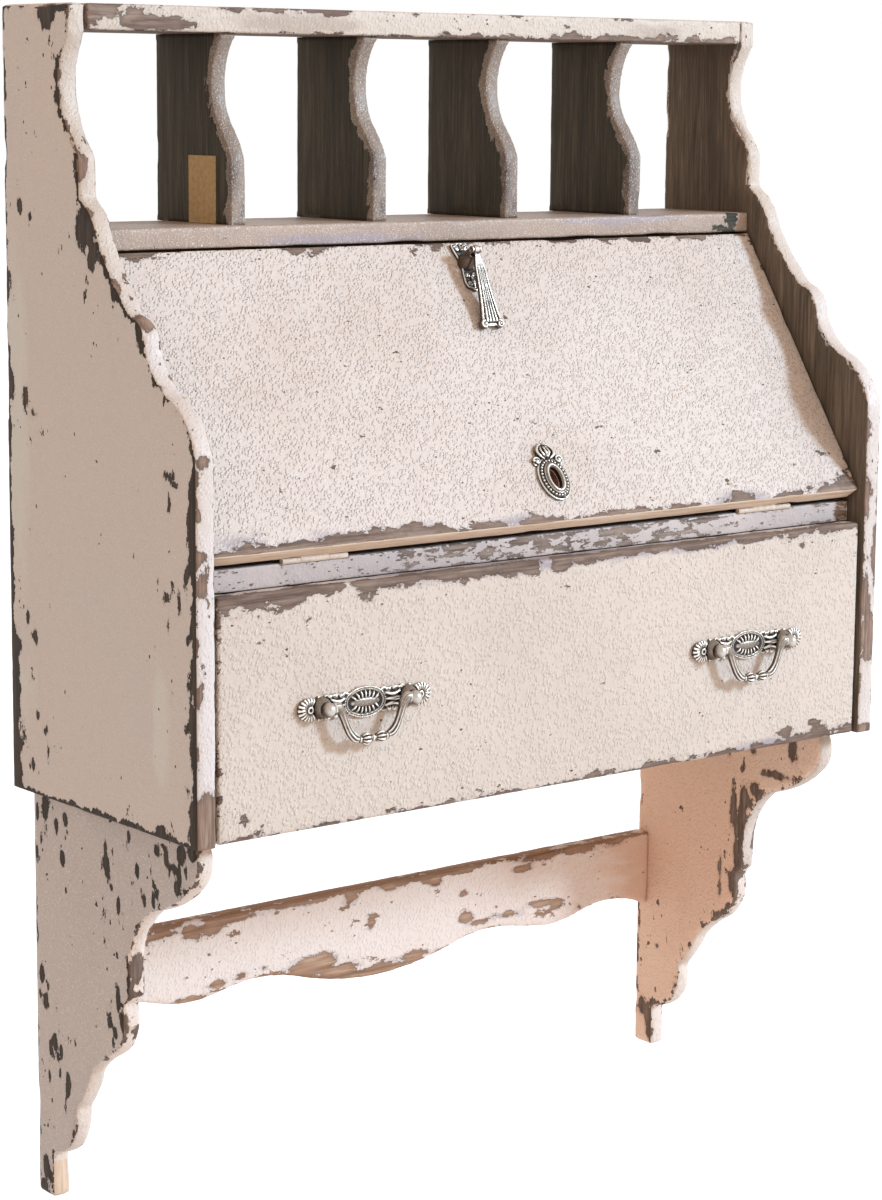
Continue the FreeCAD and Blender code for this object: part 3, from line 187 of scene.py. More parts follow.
def paintedWood(name, grain, look):
    # cream paint with a pebbled skin, worn through along the edges and flaked on the faces
    look = dict(paintDefaults, **look)
    shader = Shader(bpy.data.materials.new(name))
    shift = look["shift"]
    wood, woodHeight = woodLook(shader, grain, look["wood"], shift)
    here = shader.place(shift=shift)
    flaky = shader.place(alongGrain(grain, look["flakeSqueeze"]), shift)
    edge = shader.field("edge")
    worn = shader.field("worn")
    tint = shader.field("tint")

    broad = shader.noise(here, 7, 2)
    flake = shader.noise(flaky, look["flakeScale"], 7, 0.66)
    crumb = shader.noise(here, 420, 2)
    ragged = shader.math("SUBTRACT", flake, shader.times(crumb, 0.10))

    # chips that thin out away from an edge, gathered where the broad noise is high
    pull = shader.fit(edge, 0.0, look["wearWidth"], look["edgeWear"], 0, False)
    pull = shader.times(pull, shader.fit(broad, 0.32, 0.62, look["edgeLeast"], 1.25))
    # and a rubbed band that follows the edge
    rubbed = shader.fit(edge, 0.0, look["rubWidth"], look["rub"], 0, False)
    pull = shader.plus(pull, shader.times(rubbed, shader.field("rub")))
    reach = shader.fit(worn, -0.022, 0.0, 0, look["nearWorn"])
    amount = shader.plus(ragged, pull, reach, shader.fit(broad, 0.55, 0.80, 0, look["faceWear"]))
    bare = shader.fit(amount, look["cutAt"] - 0.004, look["cutAt"] + 0.004)
    # patches worn right through, with a torn outline
    torn = shader.plus(worn, shader.times(shader.math("SUBTRACT", ragged, 0.45), look["torn"]))
    bare = shader.most(bare, shader.fit(torn, -0.0002, 0.0003))
    # unpainted sides: the paint runs out along a ragged line
    spill = shader.plus(shader.field("cover"), shader.times(shader.math("SUBTRACT", flake), 0.03))
    bare = shader.most(bare, shader.fit(spill, look["spill"] + 0.0005, look["spill"]))
    # flakes and pits scattered over the face, each size with its own share
    jitter = shader.times(shader.math("SUBTRACT", crumb), 0.35)
    for size, lowest in look["specks"]:
        speck = shader.plus(shader.cells(flaky, size), jitter)
        picked = shader.plus(shader.noise(here, 30 + size / 10, 2), shader.times(reach, 0.8))
        speck = shader.times(shader.fit(speck, 0.20, 0.17), shader.fit(picked, lowest, lowest + 0.01))
        bare = shader.most(bare, speck)
    rim = shader.math("SUBTRACT", shader.fit(torn, -0.0022, -0.0006), bare, True)

    # the paint's colour: clouds, thin places, brushed grey smears, and light flecks that are partly painted
    # highlight, glints off the pebbled skin
    clouds = shader.fit(shader.noise(here, 5, 3, 0.6), 0.38, 0.62)
    paint = shader.mix(clouds, look["paint"], look["paintTwo"])
    if "upper" in look:
        # another tone above the straight part
        level = shader.add("SeparateXYZ", {0: shader.place()}).outputs[2]
        level = shader.plus(level, shader.times(broad, 0.1))
        paint = shader.mix(shader.fit(level, -0.04, 0.12), paint, look["upper"])
    thin = shader.noise(shader.place(alongGrain(grain, 0.3), shift), 24, 6, 0.72)
    paint = shader.mix(shader.fit(thin, 0.56, 0.80, 0, look["thin"]), paint, look["smear"])
    nearEdge = shader.times(shader.fit(edge, 0.0, 0.010, 0.30, 0, False), shader.fit(ragged, 0.45, 0.6))
    paint = shader.mix(nearEdge, paint, look["smear"])
    smudge = shader.plus(tint, shader.times(shader.math("SUBTRACT", thin, 0.5), 2.4))
    smudge = shader.times(shader.fit(smudge, 0.15, 0.75), shader.fit(tint, 0.0, 0.1))
    paint = shader.mix(shader.times(smudge, look["tintShare"]), paint, look["tint"])
    # light flecks, partly real and partly painted highlight standing in for glints off the pebbled skin
    fleckGlint = shader.noise(shader.place(alongGrain(grain, 0.55), shift), 1300, 2, 0.5)
    paint = shader.mix(shader.fit(fleckGlint, 0.60, 0.68, 0, look["fleckGlint"]), paint, rgb(246, 240, 232))
    # raised flakes that slant up to the right; the same flakes set a little aside give painted shade on their
    # lower left side and a painted highlight on their right side, as if lit from the right
    leaned = shader.add("Mapping", {"Vector": here, "Rotation": (0, -0.7, 0)}).outputs[0]
    crowd = shader.fit(shader.noise(here, 190, 2), 0.40, 0.48)
    raised = []
    for aside in ((0, 0, 0), (0.00022, 0, 0.00010)):
        drawn = {"Vector": leaned, "Scale": (0.42, 0.42, 0.26), "Location": aside}
        flakes = shader.cells(shader.add("Mapping", drawn).outputs[0], 1000)
        raised.append(shader.times(shader.fit(flakes, 0.62, 0.18), crowd))
    flakeShade = shader.math("SUBTRACT", raised[1], raised[0], True)
    crest = shader.math("SUBTRACT", raised[0], raised[1], True)
    pock = shader.fit(shader.noise(here, 560, 1), 0.70, 0.74)
    # pits, and the painted shade beside each flake, in the hollow colour
    paint = shader.mix(shader.times(shader.plus(flakeShade, pock), look["pitShadeHighlight"]), paint, look["hollow"])
    # painted highlight on the right side of each flake
    paint = shader.mix(shader.times(crest, look["pitShadeHighlight"]), paint, rgb(250, 245, 240))
    blobs = shader.plus(raised[0], shader.times(shader.noise(here, 260, 2), 0.4))

    # painted shade: the wood is darker round the rim of a chip, standing in for the shade of the paint's step
    rimShaded = shader.mix(shader.fit(torn, 0.0, 0.004, look["rimShade"], 0), wood, look["wood"][0])
    colour = shader.mix(bare, paint, rimShaded)
    colour = shader.mix(shader.times(rim, look["rimLight"]), colour, look["smear"])

    # skin height: pebbles on broad waves, flatter where the paint was brushed out
    skin = shader.times(blobs, look["pebble"])
    skin = shader.plus(shader.times(skin, shader.fit(tint, 0, 0.6, 1, 0.25)), shader.times(crumb, 0.12))
    skin = shader.plus(skin, shader.times(shader.noise(here, 70, 2), 0.9), 0.5)
    skin = shader.times(skin, shader.math("SUBTRACT", 1.0, bare))
    height = shader.plus(skin, shader.times(woodHeight, bare))
    rough = shader.fit(bare, 0, 1, look["rough"], 0.75)
    return shader.surface(**{"Base Color": colour, "Roughness": rough, "Specular IOR Level": 0.35,
                             "Normal": shader.bump(height)})


def bareWood(name, grain, tones, shift):
    # unpainted board, a little paler where its edges are handled
    shader = Shader(bpy.data.materials.new(name))
    colour, height = woodLook(shader, grain, tones, shift)
    worn = shader.fit(shader.field("edge"), 0.0, 0.004, 0.30, 0, False)
    colour = shader.mix(worn, colour, tones[2])
    return shader.surface(**{"Base Color": colour, "Roughness": 0.72, "Specular IOR Level": 0.25,
                             "Normal": shader.bump(height)})


def pewterLook(name):
    # cast pewter: rubbed bright on the high places that face out, which also paints in their glints as painted
    # highlight, dark with age in the hollows, and darker brown on the sides turned from the key lamp and
    # underneath, partly tarnish and partly painted shade and painted reflection of the wood
    shader = Shader(bpy.data.materials.new(name))
    here = shader.place()
    hollow = shader.field("hollow")
    grain = shader.noise(here, 900, 3, 0.6)
    cloud = shader.noise(here, 160, 3)
    old = shader.fit(shader.plus(hollow, shader.times(shader.math("SUBTRACT", cloud), 0.25)), 0.0, 0.13)
    high = shader.fit(hollow, -0.34, -0.08, 1, 0)
    colour = shader.mix(shader.fit(grain, 0.3, 0.7), rgb(112, 98, 87), rgb(152, 136, 122))
    # rubbed bright on the high places, and a painted highlight standing in for their glints
    colour = shader.mix(high, colour, rgb(232, 221, 209))
    # painted shade and painted reflection of the wood on the sides turned from the key lamp and underneath, with
    # tarnish where hands don't rub
    shadedSide = shader.plus(shader.field("awayShade"), shader.times(shader.math("SUBTRACT", cloud), 0.3))
    colour = shader.mix(shader.fit(shadedSide, 0.12, 0.80, 0, 0.85), colour, rgb(80, 65, 53))
    colour = shader.mix(old, colour, rgb(38, 31, 27))
    return shader.surface(**{"Base Color": colour, "Roughness": shader.fit(old, 0, 1, 0.36, 0.6),
                             "Metallic": shader.fit(old, 0, 1, 0.95, 0.35),
                             "Normal": shader.bump(shader.times(grain, 0.08))})


def plainLook(name, dark, light, metallic, rough):
    # one clouded colour for small plain pieces
    shader = Shader(bpy.data.materials.new(name))
    cloud = shader.noise(shader.place(), 260, 4, 0.6)
    return shader.surface(**{"Base Color": shader.ramp(cloud, (0.35, dark), (0.65, light)),
                             "Roughness": rough, "Metallic": metallic,
                             "Normal": shader.bump(shader.times(cloud, 0.08))})


# wood tones, dark to light
nightPine = (rgb(40, 33, 28), rgb(62, 53, 45), rgb(92, 80, 68))
darkPine = (rgb(46, 43, 34), rgb(78, 72, 59), rgb(112, 104, 88))
innerPine = (rgb(74, 63, 52), rgb(116, 101, 86), rgb(158, 139, 120))
brownPine = (rgb(84, 66, 55), rgb(128, 107, 94), rgb(160, 141, 127))
warmPine = (rgb(136, 100, 76), rgb(176, 140, 114), rgb(202, 170, 144))
palePine = (rgb(200, 170, 144), rgb(228, 203, 179), rgb(240, 220, 199))
stonePine = (rgb(100, 84, 74), rgb(148, 130, 117), rgb(184, 167, 154))
rustPine = (rgb(94, 74, 62), rgb(138, 113, 98), rgb(170, 147, 131))
lavender = rgb(187, 175, 172)

# hollow is the colour of the pits and of the painted shade beside each raised flake
frontLook = {
    "paint": rgb(213, 198, 185), "paintTwo": rgb(207, 192, 179), "smear": rgb(170, 155, 150),
    "hollow": rgb(154, 132, 118), "wood": brownPine, "edgeWear": 0.13, "wearWidth": 0.009,
    "faceWear": 0.0, "thin": 0.10, "pebble": 0.60, "pitShadeHighlight": 0.24, "tint": rgb(158, 146, 150),
    "torn": 0.026, "specks": ((95, 0.70), (240, 0.65)),
}
sideLook = {
    "paint": rgb(204, 195, 189), "paintTwo": rgb(201, 195, 192), "smear": rgb(176, 166, 160),
    "hollow": rgb(182, 170, 162), "wood": nightPine, "edgeWear": 0.14, "wearWidth": 0.008,
    "edgeLeast": 0.55, "faceWear": 0.015, "thin": 0.25, "fleckGlint": 0.6, "pebble": 0.24, "pitShadeHighlight": 0.12,
    "tint": rgb(206, 206, 202), "shift": (0.3, 0.1, 0.7), "specks": ((110, 0.71), (220, 0.69)),
    "torn": 0.016, "rub": 0.34, "rubWidth": 0.010, "rimLight": 0.15,
}
# painted looks: grain axis, the look it starts from and what differs
paintedLooks = {
    "flapPaint": (0, frontLook, {
        "paint": rgb(217, 205, 197), "paintTwo": rgb(210, 196, 186), "pebble": 0.80, "pitShadeHighlight": 0.36}),
    "drawerPaint": (0, frontLook, {"shift": (0.2, 0.7, 0.4)}),
    "sidePaint": (2, sideLook, {}),
    "rightSidePaint": (2, sideLook, {"wood": innerPine}),
    "edgePaint": (2, frontLook, {
        "paint": rgb(217, 208, 204), "paintTwo": rgb(212, 199, 190), "upper": rgb(204, 190, 177),
        "smear": rgb(178, 164, 158), "wood": rustPine, "edgeWear": 0.08, "wearWidth": 0.004, "torn": 0.018,
        "thin": 0.35, "pebble": 0.25, "rub": 0.16, "rubWidth": 0.003, "fleckGlint": 0.4,
        "shift": (0.4, 0.6, 0.1)}),
    "topPaint": (0, frontLook, {
        "paint": rgb(208, 194, 180), "paintTwo": rgb(200, 186, 172), "tint": rgb(178, 160, 145),
        "thin": 0.35, "wearWidth": 0.005, "shift": (0.9, 0.4, 0.2), "pebble": 0.3}),
    "dividerPaint": (2, frontLook, {
        "paint": rgb(148, 133, 121), "paintTwo": rgb(134, 119, 108), "smear": rgb(122, 106, 97),
        "tint": rgb(100, 86, 80), "wood": darkPine, "spill": -0.0075, "thin": 0.5, "edgeWear": 0.04,
        "wearWidth": 0.003, "pebble": 0.3, "fleckGlint": 0.7}),
    # its tint is the painted warm shadow on the rail's right end, next to the right bracket
    "railPaint": (0, frontLook, {
        "paint": rgb(240, 223, 212), "paintTwo": rgb(238, 218, 206), "tint": rgb(226, 186, 158),
        "tintShare": 0.75, "wood": warmPine, "torn": 0.016, "wearWidth": 0.008, "pebble": 0.4,
        "shift": (0.5, 0.8, 0.3)}),
    "leftBracketPaint": (2, sideLook, {
        "paint": rgb(194, 186, 182), "paintTwo": rgb(188, 180, 177), "torn": 0.010, "flakeSqueeze": 0.5,
        "specks": ((85, 0.65), (170, 0.63)), "fleckGlint": 0.7, "faceWear": 0.0, "edgeWear": 0.12,
        "rubWidth": 0.004, "shift": (0.1, 0.6, 0.9)}),
    # the right bracket's salmon tone is painted warm bounce light and shade under the case, laid into its paint
    # colour
    "rightBracketPaint": (2, frontLook, {
        "paint": rgb(250, 218, 196), "paintTwo": rgb(244, 206, 180), "smear": rgb(190, 146, 120),
        "pebble": 0.34, "edgeWear": 0.15, "wearWidth": 0.012, "faceWear": 0.03, "torn": 0.014,
        "shift": (0.7, 0.2, 0.5)}),
    "bracketEdge": (2, frontLook, {
        "paint": rgb(230, 214, 202), "smear": rgb(186, 158, 140), "edgeWear": 0.12, "wearWidth": 0.006,
        "thin": 0.5, "faceWear": 0.05, "torn": 0.02, "pebble": 0.3, "fleckGlint": 0.5,
        "shift": (0.6, 0.3, 0.8)}),
    "shelfEdgePaint": (0, frontLook, {
        "paint": rgb(176, 155, 140), "paintTwo": rgb(163, 142, 128), "smear": rgb(144, 126, 116),
        "wood": darkPine, "edgeWear": 0.04, "wearWidth": 0.002, "thin": 0.6, "pebble": 0.15, "pitShadeHighlight": 0.1,
        "fleckGlint": 0.8, "specks": (), "shift": (0.7, 0.1, 0.2)}),
    "washedRailPaint": (0, frontLook, {
        "paint": lavender, "paintTwo": rgb(208, 194, 188), "smear": rgb(160, 144, 136), "wood": stonePine,
        "wearWidth": 0.006, "thin": 0.7, "pebble": 0.15, "pitShadeHighlight": 0.1, "torn": 0.05, "rimLight": 0.1,
        "flakeScale": 150, "flakeSqueeze": 0.35, "specks": ((150, 0.58), (330, 0.535)),
        "shift": (0.1, 0.9, 0.4)}),
}
# bare looks: grain axis, tones and the pattern's shift
bareLooks = {
    "darkPineAcross": (0, darkPine, (0, 0, 0)),
    "brownPineAcross": (0, brownPine, (0, 0, 0)),
    "brownPineDeep": (1, brownPine, (0.4, 0.2, 0.6)),
    "palePineEnd": (0, palePine, (0.2, 0.5, 0.1)),
    "palePineFoot": (2, palePine, (0.4, 0.1, 0.3)),
    "slotWood": (1, (rgb(84, 48, 38), rgb(128, 84, 68), rgb(160, 112, 92)), (0, 0, 0)),
    "dowelBeech": (0, palePine, (0, 0, 0)),
}
# plain looks: dark and light colour, metallic share and roughness
plainLooks = {
    "dullSteel": (rgb(92, 86, 80), rgb(150, 144, 138), 1.0, 0.42),
    "hingePaint": (rgb(196, 176, 158), rgb(218, 199, 182), 0.0, 0.55),
    "plainCard": (rgb(190, 158, 110), rgb(210, 180, 134), 0.0, 0.8),
}
materials = {"agedPewter": pewterLook("agedPewter")}
for name, (grain, base, changes) in paintedLooks.items():
    materials[name] = paintedWood(name, grain, dict(base, **changes))
for name, settings in bareLooks.items():
    materials[name] = bareWood(name, *settings)
for name, settings in plainLooks.items():
    materials[name] = plainLook(name, *settings)
print("materials ready")


# Mesh helpers
def newObject(name, mesh):
    made = bpy.data.objects.new(name, mesh)
    scene.collection.objects.link(made)
    return made


def meshFrom(name, work):
    bmesh.ops.recalc_face_normals(work, faces=work.faces)
    mesh = bpy.data.meshes.new(name)
    work.to_mesh(mesh)
    work.free()
    return mesh


def baked(made):
    # the object with its modifiers applied
    graph = bpy.context.evaluated_depsgraph_get()
    made.data = bpy.data.meshes.new_from_object(made.evaluated_get(graph))
    made.modifiers.clear()
    return made


def evened(made, cell):
    # one even skin round everything in the mesh
    remesh = made.modifiers.new("even", "REMESH")
    remesh.mode = "VOXEL"
    remesh.voxel_size = cell
    return baked(made)


def pointsOf(mesh):
    flat = numpy.empty(len(mesh.vertices) * 3)
    mesh.vertices.foreach_get("co", flat)
    return flat.reshape(-1, 3)


def writeField(mesh, name, values):
    layer = mesh.attributes.get(name) or mesh.attributes.new(name, "FLOAT", "POINT")
    layer.data.foreach_set("value", values)


def readField(mesh, name):
    values = numpy.empty(len(mesh.vertices))
    mesh.attributes[name].data.foreach_get("value", values)
    return values


def within(place, centre, reach):
    # 1 at the centre of an oval spot, 0 at its border, negative outside; spots are in millimetres
    return 1 - numpy.sqrt((((place / mm - centre) / reach) ** 2).sum(axis=1))


def wornField(place, spots):
    # metres inside a worn spot, negative outside; spots are (centre, reach)
    depth = numpy.full(len(place), -0.05)
    for centre, reach in spots:
        depth = numpy.maximum(depth, within(place, centre, reach) * min(reach) * mm)
    return depth


def tintField(place, spots):
    # 1 in the middle of a tinted spot, fading to 0 at its border
    share = numpy.zeros(len(place))
    for centre, reach in spots:
        share = numpy.maximum(share, within(place, centre, reach))
    return share


def rubField(place, spots):
    # how strongly an edge is rubbed; spots are (centre, reach, strength)
    share = numpy.zeros(len(place))
    for centre, reach, strength in spots:
        share = numpy.maximum(share, (within(place, centre, reach) * 3).clip(0, 1) * strength)
    return share


def spotsOn(axis, groups):
    # worn spots that share their place and reach along one axis: (place, reach, rows), where a
    # row holds the place along the two other axes and then the reach along them
    spots = []
    for place, reach, rows in groups:
        for row in rows:
            centre, size = list(row[:2]), list(row[2:])
            centre.insert(axis, place)
            size.insert(axis, reach)
            spots.append((centre, size))
    return spots


def outlineOf(nodeName, axis):
    # the longest loop round a board's two broad faces, as points in order
    mesh = nodes[nodeName].data
    low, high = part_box(nodeName)
    loops = []
    for level in (low[axis], high[axis]):
        edgeUse = {}
        for face in mesh.polygons:
            corners = [mesh.vertices[i].co for i in face.vertices]
            if all(abs(corner[axis] - level) < 1e-5 for corner in corners):
                keys = [tuple(round(value, 6) for value in corner) for corner in corners]
                for first, second in zip(keys, keys[1:] + keys[:1]):
                    if (second, first) in edgeUse:
                        del edgeUse[(second, first)]
                    else:
                        edgeUse[(first, second)] = True
        follow = {first: second for first, second in edgeUse}
        while follow:
            start, here = follow.popitem()
            loop = [start]
            while here != start and here in follow:
                loop.append(here)
                here = follow.pop(here)
            loops.append(loop)

    def reach(loop):
        return sum(max(p[k] for p in loop) - min(p[k] for p in loop) for k in range(3))
    return [Vector(point) for point in max(loops, key=reach)]


def arrisSamples(loop, axis, low, high):
    # points along both outlines of a board, and across its thickness at each sharp corner
    gap, sharp, acrossSteps = 0.002, 0.6, 10
    samples = []
    for i, here in enumerate(loop):
        after, before = loop[(i + 1) % len(loop)], loop[i - 1]
        steps = max(1, int((after - here).length / gap))
        for step in range(steps):
            point = here.lerp(after, step / steps)
            for level in (low, high):
                point[axis] = level
                samples.append(point.copy())
        if (here - before).angle(after - here, 0) > sharp:
            point = here.copy()
            for step in range(acrossSteps + 1):
                point[axis] = low + (high - low) * step / acrossSteps
                samples.append(point.copy())
    return samples


def treeOf(points):
    tree = kdtree.KDTree(len(points))
    for i, point in enumerate(points):
        tree.insert(point, i)
    tree.balance()
    return tree


def sawnBoard(nodeName, axis, look):
    # a board cut to its CAD outline: an even skin with its edges softened
    skinDeep, softWithin = 0.0012, 0.03
    loop = outlineOf(nodeName, axis)
    low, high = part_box(nodeName)
    work = bmesh.new()
    rings = []
    for level in (low[axis], high[axis]):
        ring = []
        for point in loop:
            corner = point.copy()
            corner[axis] = level
            ring.append(work.verts.new(corner))
        rings.append(ring)
    work.faces.new(rings[0])
    work.faces.new(list(reversed(rings[1])))
    for i in range(len(loop)):
        after = (i + 1) % len(loop)
        work.faces.new((rings[0][after], rings[0][i], rings[1][i], rings[1][after]))
    made = newObject(nodeName + "Board", meshFrom(nodeName + "Skin", work))
    cell = look.get("cell", 0.0024) * 1
    evened(made, cell)
    samples = arrisSamples(loop, axis, low[axis], high[axis])
    tree = treeOf(samples)
    mesh = made.data
    edges = numpy.array([tree.find(vertex.co)[2] for vertex in mesh.vertices])
    across = pointsOf(mesh)[:, axis]
    cover = numpy.ones(len(edges))
    bareSides = look.get("bare", "")
    # paint laps a little way onto a bare side from the edges that were painted
    lapped = edges
    if "lapsFrom" in look:
        painted = treeOf([point for point in samples if look["lapsFrom"](point)])
        lapped = numpy.array([painted.find(vertex.co)[2] for vertex in mesh.vertices])
    for side, gap in (("-", across - low[axis]), ("+", high[axis] - across)):
        if side in bareSides:
            cover = numpy.where(gap < skinDeep, -lapped, numpy.minimum(cover, gap))
    writeField(mesh, "edge", edges)
    writeField(mesh, "cover", cover)
    group = made.vertex_groups.new(name="soft")
    soften = look.get("soften")
    for i, vertex in enumerate(mesh.vertices):
        if edges[i] < softWithin:
            group.add([i], soften(vertex.co) if soften else 1.0, "REPLACE")
    smooth = made.modifiers.new("soft", "SMOOTH")
    smooth.factor = 0.5
    smooth.iterations = look.get("softness", 10)
    smooth.vertex_group = "soft"
    baked(made)
    made.vertex_groups.clear()
    return made


def ticks(low, high, radius, cell):
    # grid lines that crowd towards both ends
    reach = [0, 0.3, 0.65, 1.0, 1.6, 2.6]
    near = [low + radius * step for step in reach]
    far = [high - radius * step for step in reversed(reach)]
    if near[-1] >= far[0]:
        return near[:3] + [(low + high) / 2] + far[3:]
    count = max(1, round((far[0] - near[-1]) / cell))
    between = [near[-1] + (far[0] - near[-1]) * step / count for step in range(1, count)]
    return near + between + far


def plank(name, low, high, look):
    # a straight board with eased edges, built from six grids
    radius = [min(look.get("radius", 0.0022), (high[k] - low[k]) * 0.4) for k in range(3)]
    cell = look.get("cell", 0.005) * 1
    lines = [ticks(low[k], high[k], radius[k], cell) for k in range(3)]
    work = bmesh.new()
    made = {}

    def corner(key):
        if key not in made:
            point = Vector([lines[k][key[k]] for k in range(3)])
            core = Vector([min(max(point[k], low[k] + radius[k]), high[k] - radius[k]) for k in range(3)])
            out = point - core
            if out.length > 1e-9:
                out.normalize()
                point = core + Vector([out[k] * radius[k] for k in range(3)])
            made[key] = work.verts.new(point)
        return made[key]

    for axis in range(3):
        u, v = [k for k in range(3) if k != axis]
        for level in (0, len(lines[axis]) - 1):
            for i in range(len(lines[u]) - 1):
                for j in range(len(lines[v]) - 1):
                    square = []
                    for du, dv in ((0, 0), (1, 0), (1, 1), (0, 1)):
                        key = [0, 0, 0]
                        key[axis], key[u], key[v] = level, i + du, j + dv
                        square.append(corner(tuple(key)))
                    work.faces.new(square)
    return newObject(name, meshFrom(name, work))


def boxFields(board, low, high, bareSides=()):
    # distance to the nearest edge, and paint cover, for a straight board
    place = pointsOf(board.data)
    gaps = numpy.minimum(place - numpy.array(low), numpy.array(high) - place).clip(0)
    gaps.sort(axis=1)
    edges = numpy.hypot(gaps[:, 0], gaps[:, 1])
    cover = numpy.ones(len(place))
    for side in bareSides:
        axis = "xyz".index(side[1])
        gap = place[:, axis] - low[axis] if side[0] == "-" else high[axis] - place[:, axis]
        cover = numpy.where(gap < 1e-5, -edges, numpy.minimum(cover, gap))
    writeField(board.data, "edge", edges)
    writeField(board.data, "cover", cover)


def wander(made, dent=0.0008, reach=0.008, where=None):
    # edges wander and dent a little, always inwards
    mesh = made.data
    edges = readField(mesh, "edge")
    normals = [vertex.normal.copy() for vertex in mesh.vertices]
    for i, vertex in enumerate(mesh.vertices):
        if edges[i] < reach:
            wave = noise.noise(vertex.co * 45) * 0.6 + noise.noise(vertex.co * 130) * 0.4
            knock = max(0.0, noise.noise(vertex.co * 24 + Vector((5, 1, 3))) - 0.28) * 5
            pull = dent * (0.5 + 0.5 * wave + knock) * (1 - edges[i] / reach)
            vertex.co -= normals[i] * pull * (where(vertex.co) if where else 1)


def finishBoard(made, nodeName, body, skins, spots=(), tints=(), rubs=()):
    # skins: the first is the whole board's; others are (material, test on face centre and normal)
    mesh = made.data
    place = pointsOf(mesh)
    writeField(mesh, "worn", wornField(place, spots))
    writeField(mesh, "tint", tintField(place, tints))
    writeField(mesh, "rub", rubField(place, rubs))
    mesh.materials.clear()
    mesh.materials.append(materials[skins[0]])
    for index, (material, test) in enumerate(skins[1:], start=1):
        mesh.materials.append(materials[material])
        for face in mesh.polygons:
            if test(face.center, face.normal):
                face.material_index = index
    mesh.polygons.foreach_set("use_smooth", [True] * len(mesh.polygons))
    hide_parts(nodeName)
    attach(made, body)


def pocketCut(made, cutters):
    # takes each cutter's solid out of a board, one at a time
    for cutter in cutters:
        work = bmesh.new()
        cutter(work)
        tool = newObject("cutter", meshFrom("cutter", work))
        cut = made.modifiers.new("cut", "BOOLEAN")
        cut.object = tool
        cut.solver = "EXACT"
        baked(made)
        bpy.data.objects.remove(tool)


def boxTool(low, high):
    def make(work):
        place = Matrix.Translation((low + high) / 2) @ Matrix.Diagonal((*(high - low), 1))
        bmesh.ops.create_cube(work, size=1, matrix=place)
    return make


def rodTool(start, end, radius, squash=1.0):
    # squash is the rod's width across the world's X axis over its height
    def make(work):
        along = end - start
        turn = along.to_track_quat("Z", "Y").to_matrix().to_4x4()
        place = Matrix.Translation((start + end) / 2) @ Matrix.Diagonal((squash, 1, 1, 1)) @ turn
        bmesh.ops.create_cone(work, cap_ends=True, segments=32, radius1=radius, radius2=radius,
                              depth=along.length, matrix=place)
    return make


# Sawn boards
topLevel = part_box("top_board")[0].z

# worn places on the side panels
leftSpots = spotsOn(0, [
    # front edge
    (-364, 7, [(-275, -119, 5, 5)]),
    (-368, 5, [(-275, -160, 4, 6)]),
    (-366, 6, [(-275, -190, 4, 4)]),
    (-366, 5, [(-275, -214, 4, 7)]),
    (-361, 14, [(-275, -404, 9, 34)]),
    (-368, 3, [(-275, -300, 3, 9)]),
    # outer arris of the front edge
    (-371, 2.5, [(-270, -170, 4, 34), (-270, -240, 3.5, 30), (-270, -330, 3.5, 60)]),
    (-371, 3, [(-268, -405, 6, 20)]),
    (-370, 2, [(-262, -205, 3, 5), (-263, -256, 2.5, 5), (-262, -292, 2.5, 4), (-262, -371, 3, 5)]),
    # sloping edge of the gallery
    (-370, 3, [(-86, 167, 4, 5), (-87, 150, 5, 9), (-228, -56, 4, 12)]),
    (-368, 7, [(-116, 99, 6, 16)]),
    (-370, 5, [(-123, 50, 11, 20)]),
    (-369, 5, [(-134, 30, 9, 12)]),
    (-370, 6, [(-166, 6, 8, 12)]),
    (-362, 8, [(-196, -18, 9, 14)]),
    (-369, 4, [(-212, -38, 5, 7)]),
    (-370, 8, [(-70, 218, 14, 16)]),
    # back edge
    (-370, 4, [(0, 60, 3, 150), (0, -85, 12, 14)]),
    (-370, 5, [(0, -250, 5, 140), (-4, -298, 14, 10), (0, 2, 8, 12)]),
    (-370, 6, [(-2, -340, 13, 60)]),
    (-370, 7, [(0, -405, 20, 16)]),
    # chips on the outer face
    (-370, 3, [
        (-30, -92, 4, 9), (-38, -101, 6, 5), (-239, -133, 6, 5), (-246, -139, 6, 3), (-239, -151, 3, 9),
        (-235, -227, 5, 6), (-237, -245, 2.5, 8), (-252, -226, 2, 5), (-29, -270, 3, 6),
        (-40, -285, 3.5, 5), (-42, -350, 3.5, 5), (-52, -362, 4, 5), (-57, -379, 3, 7), (-33, -394, 4, 5),
        (-26, 62, 4, 6), (-41, 56, 2.5, 3)]),
    (-370, 4, [(-227, -411, 9, 5), (-240, -417, 16, 4), (-200, -418, 30, 2.5)]),
])
leftTints = [((-370, -226, -322), (30, 17, 64)), ((-370, -222, -350), (30, 13, 40)),
             ((-370, -14, -120), (30, 26, 200)), ((-370, -20, -330), (30, 24, 60))]
leftRubs = [((-370, -275, -262), (14, 13, 215), 1.0), ((-370, -150, 10), (14, 90, 110), 0.45),
            ((-370, -80, 160), (14, 50, 110), 0.30), ((-370, 0, -250), (14, 12, 250), 0.85),
            ((-370, 0, 90), (14, 12, 200), 0.45), ((-370, -130, -418), (14, 180, 8), 0.35)]
rightSpots = spotsOn(0, [
    (351, 2.5, [(-272, -150, 4, 40), (-272, -215, 3, 20)]),
    (362, 12, [(-275, -330, 8, 22)]),
    (368, 5, [(-275, -250, 5, 40)]),
    (361, 12, [(-275, -418, 8, 10)]),
    (354, 7, [(-275, -205, 4, 16), (-275, -290, 4, 20)]),
    (352, 4, [(-196, 0, 6, 6), (-146, 40, 5, 9)]),
])
rightRubs = [((352, -275, -250), (12, 12, 230), 0.7), ((352, -150, 20), (12, 110, 130), 0.5),
             ((370, -275, -250), (10, 10, 230), 0.6)]


